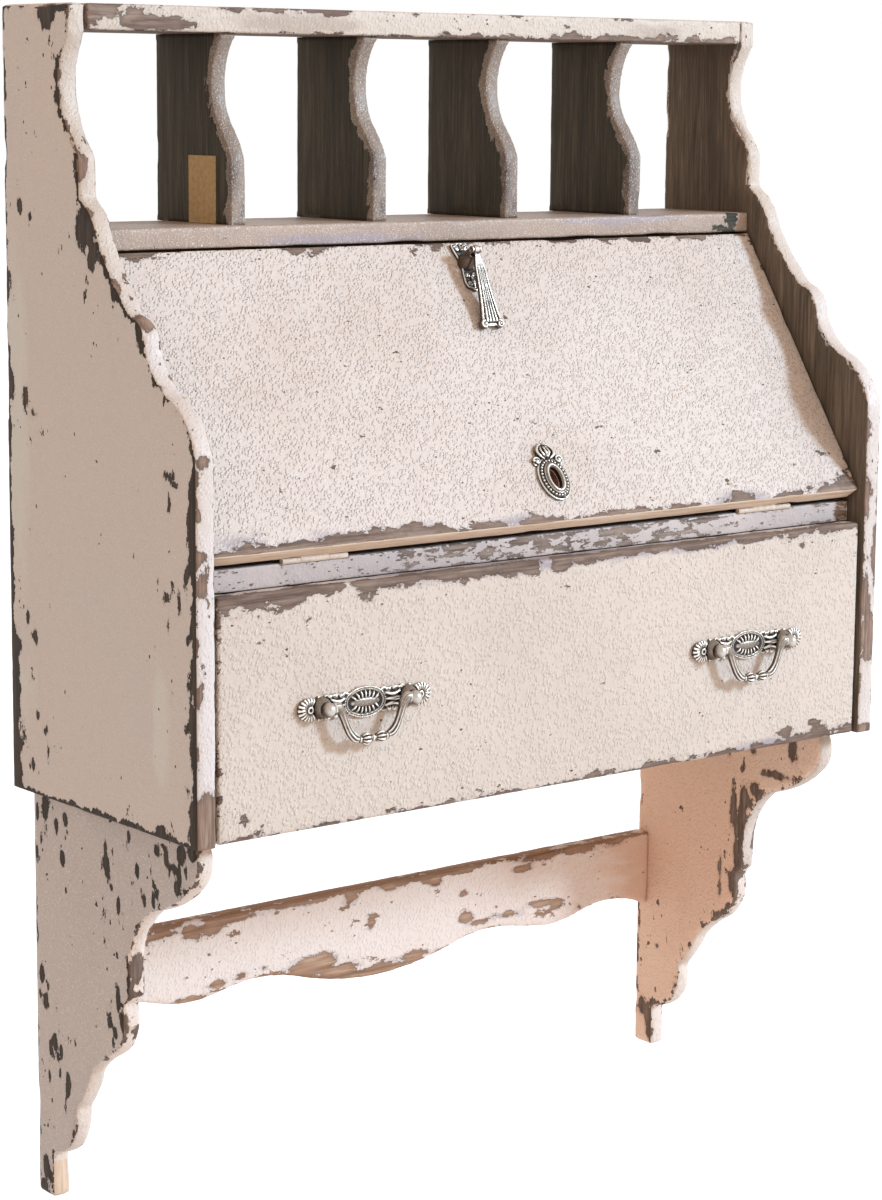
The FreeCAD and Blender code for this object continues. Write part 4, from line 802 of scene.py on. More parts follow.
def softenSide(co):
    # left crisp along the straight front edge and where the top board meets it
    if co.z > topLevel - 0.004 and abs(co.x) < 0.36:
        return 0.25
    return 0.3 if co.z < -0.11 else 0.8


def roughUpper(co):
    # the cut edges are knocked about more above the straight part
    return 1.7 if co.z > -0.11 else 0.7


def frontFace(centre, normal):
    # faces that look forwards or up
    return normal.y < -0.35 or (normal.z > 0.5 and abs(normal.x) < 0.8)


sideBoards = {
    "side_left": {"bare": "+", "skin": "sidePaint",
                  "spots": leftSpots, "tints": leftTints, "rubs": leftRubs},
    "side_right": {"bare": "-", "skin": "rightSidePaint",
                   "spots": rightSpots, "tints": [], "rubs": rightRubs},
}
for name, look in sideBoards.items():
    board = sawnBoard(name, 0, dict(look, soften=softenSide))
    wander(board, 0.0009, where=roughUpper)
    finishBoard(board, name, "case", [look["skin"], ("edgePaint", frontFace)],
                look["spots"], look["tints"], look["rubs"])


def dividerBoard(number):
    name = "divider_%d" % number
    low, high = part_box(name)

    def soften(co):
        # left crisp where it meets the boards above and below
        return 0.1 if min(co.z - low.z, high.z - co.z) < 0.004 else 1.0

    def wavyFront(point):
        return point.y < high.y - 0.03 and low.z + 0.001 < point.z < high.z - 0.001

    board = sawnBoard(name, 0, {"bare": "+-", "cell": 0.0018, "softness": 9, "soften": soften,
                                "lapsFrom": wavyFront})
    wander(board, 0.0008)
    for vertex in board.data.vertices:
        for level in (low.z, high.z):
            if abs(vertex.co.z - level) < 0.0022:
                vertex.co.z = level
    middle = (low.x + high.x) / 2 / mm
    # darker patches low on the front edge
    lowDarkPatches = [((middle - 5, -110, 84 + 6 * (number % 3)), (10, 30, 40)),
             ((middle + 4, -108, 60), (7, 12, 14))]
    finishBoard(board, name, "case", ["dividerPaint"], [], lowDarkPatches)


for number in range(1, 5):
    dividerBoard(number)

bracketSpots = {
    "bracket_left": spotsOn(0, [
        (-352, 3, [
            (-20, -432, 5, 14), (-38, -446, 3.5, 8), (-52, -438, 4, 5), (-47, -473, 3.5, 6),
            (-117, -468, 4.5, 14), (-114, -448, 2, 5), (-161, -458, 3.5, 7), (-122, -482, 2.5, 4),
            (-171, -481, 4, 8), (-184, -480, 2.5, 7), (-52, -499, 2, 3), (-133, -494, 3, 7),
            (-12, -581, 4, 7), (-18, -602, 4.5, 7), (-118, -595, 4, 7), (-31, -634, 3.5, 7),
            (-41, -642, 2.5, 6), (-39, -661, 2.5, 7), (-52, -668, 4, 10), (-146, -556, 3, 8),
            (-126, -603, 3, 6), (-190, -436, 4, 5), (-204, -440, 3, 8), (-218, -462, 4, 5),
            (-150, -433, 2, 4), (-8, -440, 2.5, 9), (-14, -462, 2, 7), (-22, -452, 2, 4),
            (-6, -474, 2, 4), (-208, -452, 2, 7), (-215, -446, 2.5, 4), (-222, -448, 2, 9),
            (-231, -446, 2, 8), (-199, -431, 3, 2), (-140, -500, 2, 6), (-177, -500, 2, 6),
            (-212, -478, 3, 5), (-22, -588, 2.5, 5), (-8, -598, 2.5, 5), (-24, -640, 2, 6),
            (-36, -648, 2, 4), (-22, -668, 2, 5), (-131, -575, 2.5, 10), (-135, -590, 2.5, 8),
            (-136, -612, 3, 9), (-130, -640, 4, 4), (-72, -700, 2.5, 8), (-58, -712, 2.5, 9),
            (-20, -755, 3, 4)]),
        (-352, 4, [(-225, -432, 7, 9), (-14, -748, 5, 10), (0, -660, 3, 90), (-90, -690, 5, 10)]),
        (-352, 6, [(-240, -425, 7, 10), (-140, -596, 6, 16)]),
        (-352, 5, [(-10, -768, 6, 6)]),
        (-343, 9, [(-150, -612, 7, 12)]),
        (-343, 8, [(-147, -545, 6, 12)]),
        (-345, 8, [(-92, -684, 5, 6)]),
    ]),
    "bracket_right": spotsOn(0, [
        (334, 3, [
            (-128, -458, 3, 7), (-134, -512, 3.5, 14), (-140, -532, 2.5, 9), (-118, -571, 2, 8),
            (-119, -592, 2, 9), (-32, -671, 3, 3), (-160, -452, 2.5, 4)]),
        (334, 5, [(-150, -500, 6, 14), (-212, -438, 7, 16), (-146, -575, 8, 18), (-20, -745, 4, 14)]),
        (334, 4, [
            (-148, -520, 5, 22), (-160, -488, 6, 7), (-190, -470, 18, 4), (-140, -556, 4, 14),
            (-134, -585, 4, 14), (-138, -605, 5, 10), (-130, -620, 7, 4), (-5, -655, 3, 9),
            (-12, -735, 5, 9), (-115, -626, 8, 3)]),
        (334, 6, [(-26, -762, 9, 7)]),
        (343, 9, [(-150, -575, 6, 14)]),
    ]),
}
rubEnds = [((0, -130, -560), (400, 200, 190), 1.0), ((0, -40, -730), (400, 90, 90), 1.0)]
bracketSkins = {"bracket_left": "leftBracketPaint", "bracket_right": "rightBracketPaint"}
for name, skin in bracketSkins.items():
    board = sawnBoard(name, 0, {"softness": 4})
    wander(board, 0.0010)
    skins = [skin, ("bracketEdge", lambda centre, normal: abs(normal.x) < 0.8)]
    if name == "bracket_left":
        skins.append(("palePineFoot", lambda centre, normal: normal.y < -0.8 and centre.z < -0.743))
    else:
        skins.append(("rightSidePaint", lambda centre, normal: normal.x > 0.8))
    finishBoard(board, name, "case", skins, bracketSpots[name], (), rubEnds)

railSpots = spotsOn(1, [
    (-18, 4, [
        (-236, -566, 30, 3), (-206, -566, 16, 7), (-186, -568, 10, 5), (-150, -563, 20, 3),
        (-100, -561, 24, 3), (-33, -563, 8, 6), (10, -562, 10, 3), (66, -565, 7, 4), (110, -560, 14, 2),
        (195, -560, 30, 5), (240, -561, 24, 5), (170, -570, 9, 3), (292, -562, 12, 5),
        (-204, -630, 16, 3), (-153, -617, 9, 4), (104, -608, 9, 5), (116, -614, 10, 3),
        (150, -612, 18, 3), (196, -608, 16, 3), (214, -610, 8, 5)]),
    (-18, 3, [(-176, -620, 7, 3), (-128, -614, 6, 3), (-8, -592, 3, 5), (100, -582, 4, 3)]),
    (-18, 6, [(-75, -622, 26, 10), (-46, -632, 22, 7), (0, -640, 40, 5)]),
    (-18, 5, [(44, -632, 22, 3)]),
    (-8, 10, [(0, -558, 334, 2.5)]),
])
# painted shadow: the rail's right end warmer and darker, where the right bracket shades it
railShadeTints = [((334, -18, -590), (96, 14, 90))]
railRubs = [((0, -18, -560), (420, 12, 12), 0.5), ((-20, -18, -640), (200, 12, 30), 0.5)]
board = sawnBoard("scalloped_rail", 1, {"softness": 5})
wander(board, 0.0008)
finishBoard(board, "scalloped_rail", "case", ["railPaint"], railSpots, railShadeTints, railRubs)
print("sawn boards ready")

# Straight boards
topSpots = spotsOn(1, [
    (-101, 8, [(-361, 214, 26, 14)]),
    (-101, 5, [
        (-312, 212, 12, 7), (-296, 207, 16, 6), (-275, 208, 14, 5), (60, 201, 60, 3), (190, 202, 80, 3.5),
        (320, 203, 40, 4)]),
    (-101, 6, [(-330, 216, 14, 6), (-140, 221, 60, 2.5)]),
])
straight = {
    "top_board": {"radius": 0.0022, "skins": ["topPaint"], "bare": ("-z",), "spots": topSpots,
                  "tints": [((-150, -101, 210), (90, 8, 12)), ((250, -101, 210), (60, 8, 12))]},
    "gallery_shelf": {"radius": 0.0025, "skins": ["darkPineAcross", ("shelfEdgePaint", frontFace)],
                      "spots": [((330, -117, 39), (8, 6, 12)), ((318, -117, 34), (9, 5, 4))],
                      "tints": [((-120, -117, 34), (120, 8, 8)), ((200, -117, 44), (90, 8, 6))]},
    "bottom_board": {"radius": 0.002, "skins": ["brownPineAcross"]},
}
# boards that hardly show: eased radius and wood
for name, radius, wood in (
        ("back_panel", 0.0012, "brownPineAcross"), ("hanging_rail", 0.0015, "darkPineAcross"),
        ("flap_stop_batten", 0.0015, "darkPineAcross"), ("drawer_runner_left", 0.0008, "brownPineDeep"),
        ("drawer_runner_right", 0.0008, "brownPineDeep"), ("drawer_side_left", 0.0012, "brownPineDeep"),
        ("drawer_side_right", 0.0012, "brownPineDeep"), ("drawer_back", 0.0012, "brownPineAcross"),
        ("drawer_bottom", 0.0008, "brownPineAcross")):
    straight[name] = {"radius": radius, "cell": 0.02, "skins": [wood]}
for name, look in straight.items():
    low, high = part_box(name)
    board = plank(name + "Board", low, high, look)
    boxFields(board, low, high, look.get("bare", ()))
    wander(board, 0.0004 if look["radius"] < 0.002 else 0.0008)
    body = "drawer" if name.startswith("drawer_") and "runner" not in name else "case"
    finishBoard(board, name, body, look["skins"],
                look.get("spots", ()), look.get("tints", ()))

hingeLine = Vector(joints["flap_hinge"]["pos_m"])
hingePins = [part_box("hinge_%s_pin" % hand) for hand in ("left", "right")]
knuckleRadius = hingePins[0][1].z - hingePins[0][0].z  # the knuckle is twice as thick as its pin
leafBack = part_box("hinge_left_fixed_leaf")[1].y
leafDeep, play, beyond = 0.00125, 0.0003, 0.01
hingeSpans = [(pin[0].x - play, pin[1].x + play) for pin in hingePins]


def letInHinges(board, leafFrom, leafTo, line):
    # pockets for the leaves, then rounds for the knuckles; leafFrom, leafTo and line are (y, z)
    pocketCut(board, [boxTool(Vector((start, *leafFrom)), Vector((end, *leafTo)))
                      for start, end in hingeSpans])
    pocketCut(board, [rodTool(Vector((start, *line)), Vector((end, *line)), knuckleRadius + play)
                      for start, end in hingeSpans])


# desk floor, let in for the fixed leaves; its front edge is the rail above the drawer
floorLow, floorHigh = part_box("desk_floor")
board = plank("desk_floorBoard", floorLow, floorHigh, {"radius": 0.0012, "cell": 0.01})
letInHinges(board, (hingeLine.y - beyond, floorHigh.z - leafDeep), (leafBack + play, floorHigh.z + beyond),
            hingeLine.yz)
boxFields(board, floorLow, floorHigh)
floorSpots = spotsOn(1, [(-254, 5, [
    (-150, -214, 9, 6), (-108, -209, 26, 4), (-70, -217, 22, 5), (-20, -211, 30, 6),
    (34, -217, 34, 5), (84, -210, 24, 5), (132, -218, 20, 4), (176, -208, 16, 3), (344, -214, 8, 14)])])
finishBoard(board, "desk_floor", "case",
            ["brownPineAcross", ("washedRailPaint", frontFace)], floorSpots)

# flap, drawn square to itself on the hinge line and leaned back with the CAD board
flapMesh = nodes["flap_panel"].data
broadest = max((face for face in flapMesh.polygons if face.normal.y < -0.5), key=lambda face: face.area)
lean = math.atan2(-broadest.normal.z, -broadest.normal.y)
flapTurn = Matrix.Translation(hingeLine) @ Matrix.Rotation(lean, 4, "X")


def flatBox(nodeName):
    # a node's box in the flap's own square frame
    back = flapTurn.inverted()
    flat = [back @ vertex.co for vertex in nodes[nodeName].data.vertices]
    return (Vector([min(point[k] for point in flat) for k in range(3)]),
            Vector([max(point[k] for point in flat) for k in range(3)]))


flapLow, flapHigh = flatBox("flap_panel")
shieldLow, shieldHigh = flatBox("escutcheon")
# key slot: middle, half width and half height, and depth, in metres
keyHole = {"x": (shieldLow.x + shieldHigh.x) / 2 - 0.002,
           "z": shieldLow.z + 0.37 * (shieldHigh.z - shieldLow.z),
           "half": (0.0046, 0.009), "deep": 0.006}
flapSpots = (
    [((x, -18, 2), (reach, 5, deep)) for x, reach, deep in (
        (-330, 40, 6), (-262, 34, 6), (-205, 46, 9), (-150, 30, 8), (-90, 40, 7), (-20, 30, 5),
        (60, 40, 4), (130, 30, 4), (205, 22, 7), (204, 7, 12), (262, 26, 6), (318, 30, 8), (345, 16, 14))]
    + [((x, -18, 272), (reach, 5, 6)) for x, reach in (
        (-315, 26), (-150, 20), (0, 30), (120, 46), (290, 40))])
flapTints = [((-320, -18, 2), (50, 30, 30)), ((-240, -18, 4), (60, 30, 22)), ((-150, -18, 4), (60, 30, 18)),
             ((-60, -18, 2), (60, 30, 16)), ((200, -18, 2), (50, 30, 16)), ((330, -18, 2), (30, 30, 22))]
board = plank("flap_panelBoard", flapLow, flapHigh, {"radius": 0.0022, "cell": 0.0045})
boxFields(board, flapLow, flapHigh)
wander(board, 0.0007)
letInHinges(board, (flapHigh.y - leafDeep, -beyond), (flapHigh.y + beyond, leafBack - hingeLine.y + play),
            (0, 0))
keyMiddle = Vector((keyHole["x"], flapLow.y, keyHole["z"]))
inwards = Vector((0, keyHole["deep"], 0))
keyTool = rodTool(keyMiddle - inwards, keyMiddle + inwards, keyHole["half"][1],
                  keyHole["half"][0] / keyHole["half"][1])
pocketCut(board, [keyTool])
boxFields(board, flapLow, flapHigh)


def inKeyHole(centre, normal):
    across = (centre.x - keyHole["x"]) / keyHole["half"][0]
    upwards = (centre.z - keyHole["z"]) / keyHole["half"][1]
    return across ** 2 + upwards ** 2 < 1.1 and centre.y > flapLow.y + 0.0003 and centre.y < 0


flapSkins = ["flapPaint", ("palePineEnd", lambda centre, normal: normal.z < -0.75),
             ("brownPineAcross", lambda centre, normal: normal.y > 0.75), ("slotWood", inKeyHole)]
finishBoard(board, "flap_panel", "flap", flapSkins, flapSpots, flapTints)
board.data.transform(flapTurn)

# drawer front
frontLow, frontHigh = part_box("drawer_front")
drawerSpots = (
    [((x, -272, -223), (reach, 8, deep)) for x, reach, deep in (
        (-340, 22, 14), (-318, 26, 17), (-290, 24, 14), (-255, 34, 9), (-205, 12, 15), (-175, 30, 9),
        (-120, 46, 10), (-60, 40, 9), (-5, 12, 13), (30, 40, 8), (90, 46, 7), (150, 30, 8), (210, 46, 7),
        (270, 40, 6), (320, 34, 7))]
    + [((x, -272, -418), (reach, 6, deep)) for x, reach, deep in (
        (-320, 26, 4), (-240, 30, 4), (-150, 46, 4), (-60, 30, 5), (30, 40, 5), (110, 40, 6), (180, 26, 7),
        (240, 26, 9), (290, 30, 10), (335, 26, 9))]
    + [((-325, -272, -399), (4, 4, 4)), ((-349, -272, -236), (3, 4, 12)),
       ((349, -272, -232), (4, 4, 10)), ((262, -272, -405), (9, 4, 4)), ((300, -272, -402), (8, 4, 3))])
board = plank("drawer_frontBoard", frontLow, frontHigh, {"radius": 0.003, "cell": 0.0045})
boxFields(board, frontLow, frontHigh)
wander(board, 0.0007)
finishBoard(board, "drawer_front", "drawer", [
    "drawerPaint", ("brownPineAcross", lambda centre, normal: normal.y > 0.5)], drawerSpots,
    [((0, -272, -226), (360, 30, 9)), ((250, -272, -418), (110, 30, 16))])
print("straight boards ready")


# Metalwork, modelled in millimetres: u to the right, v upwards, w out of the board
class Clay:
    # closed lumps that are later melted into one casting
    def __init__(self):
        self.work = bmesh.new()

    def skin(self, rings, closed=False):
        # joins rings of points; a ring of one point closes an end
        rings = [[self.work.verts.new(point) for point in ring] for ring in rings]
        pairs = list(zip(rings, rings[1:]))
        if closed:
            pairs.append((rings[-1], rings[0]))
        for first, second in pairs:
            for k in range(max(len(first), len(second))):
                corners = [first[k % len(first)], first[(k + 1) % len(first)],
                           second[(k + 1) % len(second)], second[k % len(second)]]
                self.work.faces.new(list(dict.fromkeys(corners)))

    def spin(self, profile, place, closed=False, steps=28):
        # turns (radius, height) pairs round the local Z axis
        rings = []
        for radius, height in profile:
            if radius < 1e-6:
                rings.append([place @ Vector((0, 0, height))])
            else:
                rings.append([place @ Vector((radius * math.cos(k * math.tau / steps),
                                              radius * math.sin(k * math.tau / steps), height))
                              for k in range(steps)])
        self.skin(rings, closed)

    def blob(self, centre, reach, turn=0.0):
        arc = [(math.sin(k * math.pi / 10), -math.cos(k * math.pi / 10)) for k in range(11)]
        arc[0], arc[-1] = (0, -1), (0, 1)
        place = Matrix.Translation(centre) @ Matrix.Rotation(math.radians(turn), 4, "Z")
        self.spin(arc, place @ Matrix.Diagonal((*reach, 1)), steps=20)

    def pad(self, centre, reach, low, high, turn=0.0):
        # a flat oval with a rounded rim
        rise = high - low
        place = Matrix.Translation((*centre, low)) @ Matrix.Rotation(math.radians(turn), 4, "Z")
        self.spin([(0, 0), (1, 0), (1, rise * 0.55), (0.95, rise * 0.9), (0.86, rise), (0, rise)],
                  place @ Matrix.Diagonal((*reach, 1, 1)), steps=48)

    def ring(self, outer, inner, low, high):
        # a flat oval ring with rounded edges; outer and inner are its half widths
        rings, eased, steps = [], high - 0.5, 48
        for share, level in ((1, low), (1, eased), (0.93, high), (0.07, high), (0, eased), (0, low)):
            wide, tall = [inner[k] + (outer[k] - inner[k]) * share for k in range(2)]
            rings.append([Vector((wide * math.cos(k * math.tau / steps),
                                  tall * math.sin(k * math.tau / steps), level)) for k in range(steps)])
        self.skin(rings, closed=True)

    def slab(self, outline, low, high):
        # a flat outline given a thickness
        rings = [[Vector((u, v, level)) for u, v in outline] for level in (low, high)]
        verts = [[self.work.verts.new(point) for point in ring] for ring in rings]
        self.work.faces.new(verts[0])
        self.work.faces.new(list(reversed(verts[1])))
        for k in range(len(outline)):
            after = (k + 1) % len(outline)
            self.work.faces.new((verts[0][after], verts[0][k], verts[1][k], verts[1][after]))

    def strand(self, points, widths, flat=1.0, closed=False, steps=12):
        # an oval rod along a smooth line; flat is its thickness over its width
        points = [Vector(point) for point in points]
        count = len(points)
        sizes = widths if isinstance(widths, list) else [widths] * (count + 1)
        fine = 4 if closed and count > 16 else 6
        path, size = [], []
        for i in range(count if closed else count - 1):
            near, far = points[i], points[(i + 1) % count]
            before = points[i - 1] if closed or i > 0 else near * 2 - far
            after = points[(i + 2) % count] if closed or i + 2 < count else far * 2 - near
            for step in range(fine):
                t = step / fine
                path.append(0.5 * ((2 * near) + (far - before) * t
                                   + (2 * before - 5 * near + 4 * far - after) * t * t
                                   + (3 * near - before - 3 * far + after) * t ** 3))
                size.append(sizes[i] + (sizes[i + 1] - sizes[i]) * t)
        if not closed:
            path.append(points[-1])
            size.append(sizes[-1])
        rings = []
        for i, point in enumerate(path):
            nextPoint = path[(i + 1) % len(path)] if closed or i + 1 < len(path) else point
            lastPoint = path[i - 1] if closed or i > 0 else point
            ahead = (nextPoint - lastPoint).normalized()
            up = Vector((0, 0, 1)) if abs(ahead.z) < 0.9 else Vector((0, 1, 0))
            side = ahead.cross(up).normalized()
            over = side.cross(ahead)
            rings.append([point + (side * math.cos(k * math.tau / steps)
                                   + over * math.sin(k * math.tau / steps) * flat) * size[i]
                          for k in range(steps)])
            if not closed and i in (0, len(path) - 1):
                out = -ahead if i == 0 else ahead
                tip = point + out * size[i] * 0.6
                rings.insert(0 if i == 0 else len(rings), [tip])
        self.skin(rings, closed)

    def curl(self, centre, radius, tube, start, turns, level, side=1):
        # a scroll that winds in to a bead
        points, widths = [], []
        steps = max(6, int(turns * 9))
        for step in range(steps + 1):
            share = step / steps
            angle = math.radians(start) + side * share * turns * math.tau
            reach = radius * (1 - 0.72 * share)
            points.append((centre[0] + reach * math.cos(angle), centre[1] + reach * math.sin(angle),
                           level + 0.5 * share))
            widths.append(tube * (1 - 0.25 * share))
        self.strand(points, widths)
        self.blob((*centre, level + 0.4), (tube * 1.25, tube * 1.25, tube * 1.3))

    def beads(self, centre, reach, size, level, gap, start=0.0, sweep=360.0):
        for u, v in oval(centre, reach, gap, start, sweep):
            self.blob((u, v, level), (size, size, size))

    def cast(self, name, place, cell=0.5, softness=2):
        # place carries millimetres to metres; hollow holds how deep a point lies in the relief
        made = newObject(name, meshFrom(name, self.work))
        evened(made, cell * (1))
        smooth = made.modifiers.new("soft", "SMOOTH")
        smooth.factor = 0.5
        smooth.iterations = softness
        baked(made)
        mesh = made.data
        writeField(mesh, "hollow", hollowField(mesh, 16))
        mesh.transform(place)
        # how far each point faces away from the key lamp: tarnish and painted shade
        writeField(mesh, "awayShade", awayShadeField(mesh, place))
        mesh.polygons.foreach_set("use_smooth", [True] * len(mesh.polygons))
        mesh.materials.clear()
        mesh.materials.append(materials["agedPewter"])
        return made


def oval(centre, reach, gap, start=0.0, sweep=360.0):
    # points about a gap apart round an oval
    fine = []
    for step in range(721):
        angle = math.radians(start + sweep * step / 720)
        fine.append(Vector((centre[0] + reach[0] * math.cos(angle),
                            centre[1] + reach[1] * math.sin(angle))))
    total = sum((b - a).length for a, b in zip(fine, fine[1:]))
    count = max(4, round(total / gap))
    points, done, wanted = [], 0.0, 0.0
    for a, b in zip(fine, fine[1:]):
        if done >= wanted - 1e-9 and len(points) < count:
            points.append((a.x, a.y))
            wanted += total / count
        done += (b - a).length
    return points


def hollowField(mesh, rounds):
    # how far each point lies under the surface smoothed over its neighbours, in the mesh's units
    place = pointsOf(mesh)
    ends = numpy.empty(len(mesh.edges) * 2, dtype=numpy.int32)
    mesh.edges.foreach_get("vertices", ends)
    ends = ends.reshape(-1, 2)
    count = len(place)
    degree = numpy.bincount(ends.ravel(), minlength=count).clip(1)
    even = place.copy()
    for _ in range(rounds):
        for k in range(3):
            total = (numpy.bincount(ends[:, 0], weights=even[ends[:, 1], k], minlength=count)
                     + numpy.bincount(ends[:, 1], weights=even[ends[:, 0], k], minlength=count))
            even[:, k] = total / degree
    normals = numpy.empty(count * 3)
    mesh.vertex_normals.foreach_get("vector", normals)
    return ((even - place) * normals.reshape(-1, 3)).sum(axis=1)


def awayShadeField(mesh, place):
    # 0 where the casting faces out, up and a little to the right, towards the key lamp, 1 on its sides and under
    # it, where hands don't rub it and where painted shade falls away from the lamp
    normals = numpy.empty(len(mesh.vertices) * 3)
    mesh.vertex_normals.foreach_get("vector", normals)
    outward = (place.to_3x3() @ Vector((0.25, 0.45, 0.86))).normalized()
    return ((0.75 - normals.reshape(-1, 3) @ numpy.array(outward)) / 1.2).clip(0, 1)


def finishMetal(made, nodeName, body):
    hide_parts(nodeName)
    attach(made, body)


def turnedTo(angle):
    # cosine and sine of an angle in degrees
    return math.cos(math.radians(angle)), math.sin(math.radians(angle))


millimetres = Matrix.Diagonal((mm, mm, mm, 1))
outwards = Matrix.Rotation(math.radians(90), 4, "X")  # u, v, w become X, Z, -Y
sideways = Matrix.Rotation(math.radians(90), 4, "Y")  # the local Z axis becomes u

pull = {
    # backplate, in millimetres from its middle
    "thick": 2.2, "postAt": 42.5, "postReach": 12, "ball": 6, "bore": 2.15, "boreDeep": 5.6,
    "fanAt": 54.6, "fanInner": 3.8, "fanSide": 8.8, "fanTip": 11.0, "fanStep": 20, "ringReach": 2.1,
    # bail: a swan neck each side and two melon beads
    "drop": 27.0, "bow": 0.6, "beadAt": 7.2, "bead": (4.5, 4.2), "lobes": 8, "grip": 2.2, "gripHalf": 14,
    "collar": 3.1, "collarAt": 12.9, "pin": 1.55, "pinStart": 33, "pinLong": 7.0,
}
# middle line of a bail's arm: u, v, share of the outward bow, half width
armLine = [(37.4, 0.8, 0.0, 4.7), (34.2, 1.0, 0.06, 4.7), (31.0, -2.2, 0.2, 4.1),
           (28.6, -8.0, 0.45, 3.4), (26.0, -14.4, 0.7, 3.1), (22.9, -20.2, 0.9, 3.3),
           (18.8, -24.6, 1.0, 3.7), (15.0, -26.2, 1.0, 3.0), (12.6, -26.6, 1.0, 1.9)]


def pullPlate(clay):
    thick = pull["thick"]
    clay.pad((0, 0), (20.6, 12.7), 0, thick)
    wavy = [(u, 9.3 + 0.9 * math.cos((abs(u) - 19) * math.tau / 9)) for u in range(-46, 47, 2)]
    clay.slab(wavy + [(u, -v) for u, v in reversed(wavy)], 0, thick)
    # centre: fine beads round a smooth oval, with a spray of leaves above and below it
    clay.beads((0, 0), (20.0, 12.1), 0.75, thick + 0.1, 1.8)
    clay.strand([(u, v, thick) for u, v in oval((0, 0), (18.0, 10.3), 3)], 0.7, closed=True)
    clay.blob((0, 0, thick), (14.5, 4.4, 2.0))
    for v in (-1, 1):
        for k in range(-3, 4):
            bend = 1 - (k / 4.6) ** 2
            clay.strand([(k * 3.1, v * 3.6 * bend, thick + 0.9), (k * 3.7, v * 6.6 * bend, thick + 1.1),
                         (k * 4.4, v * 9.3 * bend, thick + 0.2)], [0.6, 0.95, 0.55])
    for side in (-1, 1):
        # leafy bar between the centre and the post, edged with scrolls
        for v in (-1, 1):
            clay.curl((side * 23.4, v * 8.0), 2.3, 0.68, 90 + side * 60, 1.1, thick + 0.2, side * v)
            clay.curl((side * 29.2, v * 8.4), 2.3, 0.68, 90 - side * 60, 1.1, thick + 0.2, -side * v)
            clay.curl((side * 35.0, v * 8.2), 2.1, 0.68, 90 + side * 60, 1.0, thick + 0.2, side * v)
            clay.strand([(side * 20, v * 5.2, thick), (side * 27, v * 3.6, thick + 1.3),
                         (side * 34, v * 5.4, thick + 0.8)], [1.0, 1.7, 1.1])
        clay.strand([(side * 20, 0, thick), (side * 28, 0, thick + 1.6), (side * 34, 0, thick + 1.6)],
                    [0.8, 1.9, 1.5])
        # pointed fan round a ringed pin hole
        fan = side * pull["fanAt"]
        clay.pad((fan, 0), (pull["fanTip"] - 0.4, pull["fanSide"] + 0.3), 0, thick + 0.4)
        steps = int(240 / pull["fanStep"])
        for k in range(steps + 1):
            swing = -120 + k * pull["fanStep"]
            c, s = turnedTo(swing if side > 0 else 180 - swing)
            inner = pull["fanInner"]
            outer = pull["fanSide"] + (pull["fanTip"] - pull["fanSide"]) * max(0, turnedTo(swing)[0]) ** 2
            clay.strand([(fan + inner * c, inner * s, thick + 1.8),
                         (fan + (inner + outer) / 2 * c, (inner + outer) / 2 * s, thick + 1.4),
                         (fan + outer * c, outer * s, thick + 0.1)], [0.6, 1.1, 1.3])
        reach = pull["ringReach"]
        clay.pad((fan, 0), (4.2, 4.2), 0, thick + 1.4)
        clay.strand([(fan + u, v, thick + 2.0) for u, v in oval((0, 0), (reach, reach), 1.2)], 0.95,
                    closed=True)
        # post: a full bell that ends in a bored ball
        post = side * pull["postAt"]
        clay.spin([(0, 0), (8.8, 0), (8.8, 2.4), (8.3, 4.4), (7.4, 6.4), (6.3, 8.2), (5.2, 9.2), (5.2, 10),
                   (0, 10)], Matrix.Translation((post, 0, 0)))
        ball, bore = pull["ball"], pull["bore"]
        start = -math.sqrt(ball ** 2 - bore ** 2)
        arc = [(ball * math.sin(k * math.pi / 12), -ball * math.cos(k * math.pi / 12))
               for k in range(2, 12)]
        place = (Matrix.Translation((post, 0, pull["postReach"])) @ sideways
                 @ Matrix.Diagonal((1, 1, side, 1)))
        clay.spin([(0, -ball + pull["boreDeep"]), (bore, -ball + pull["boreDeep"]), (bore, start)]
                  + [pair for pair in arc if pair[1] > start + 0.3] + [(0, ball)], place)


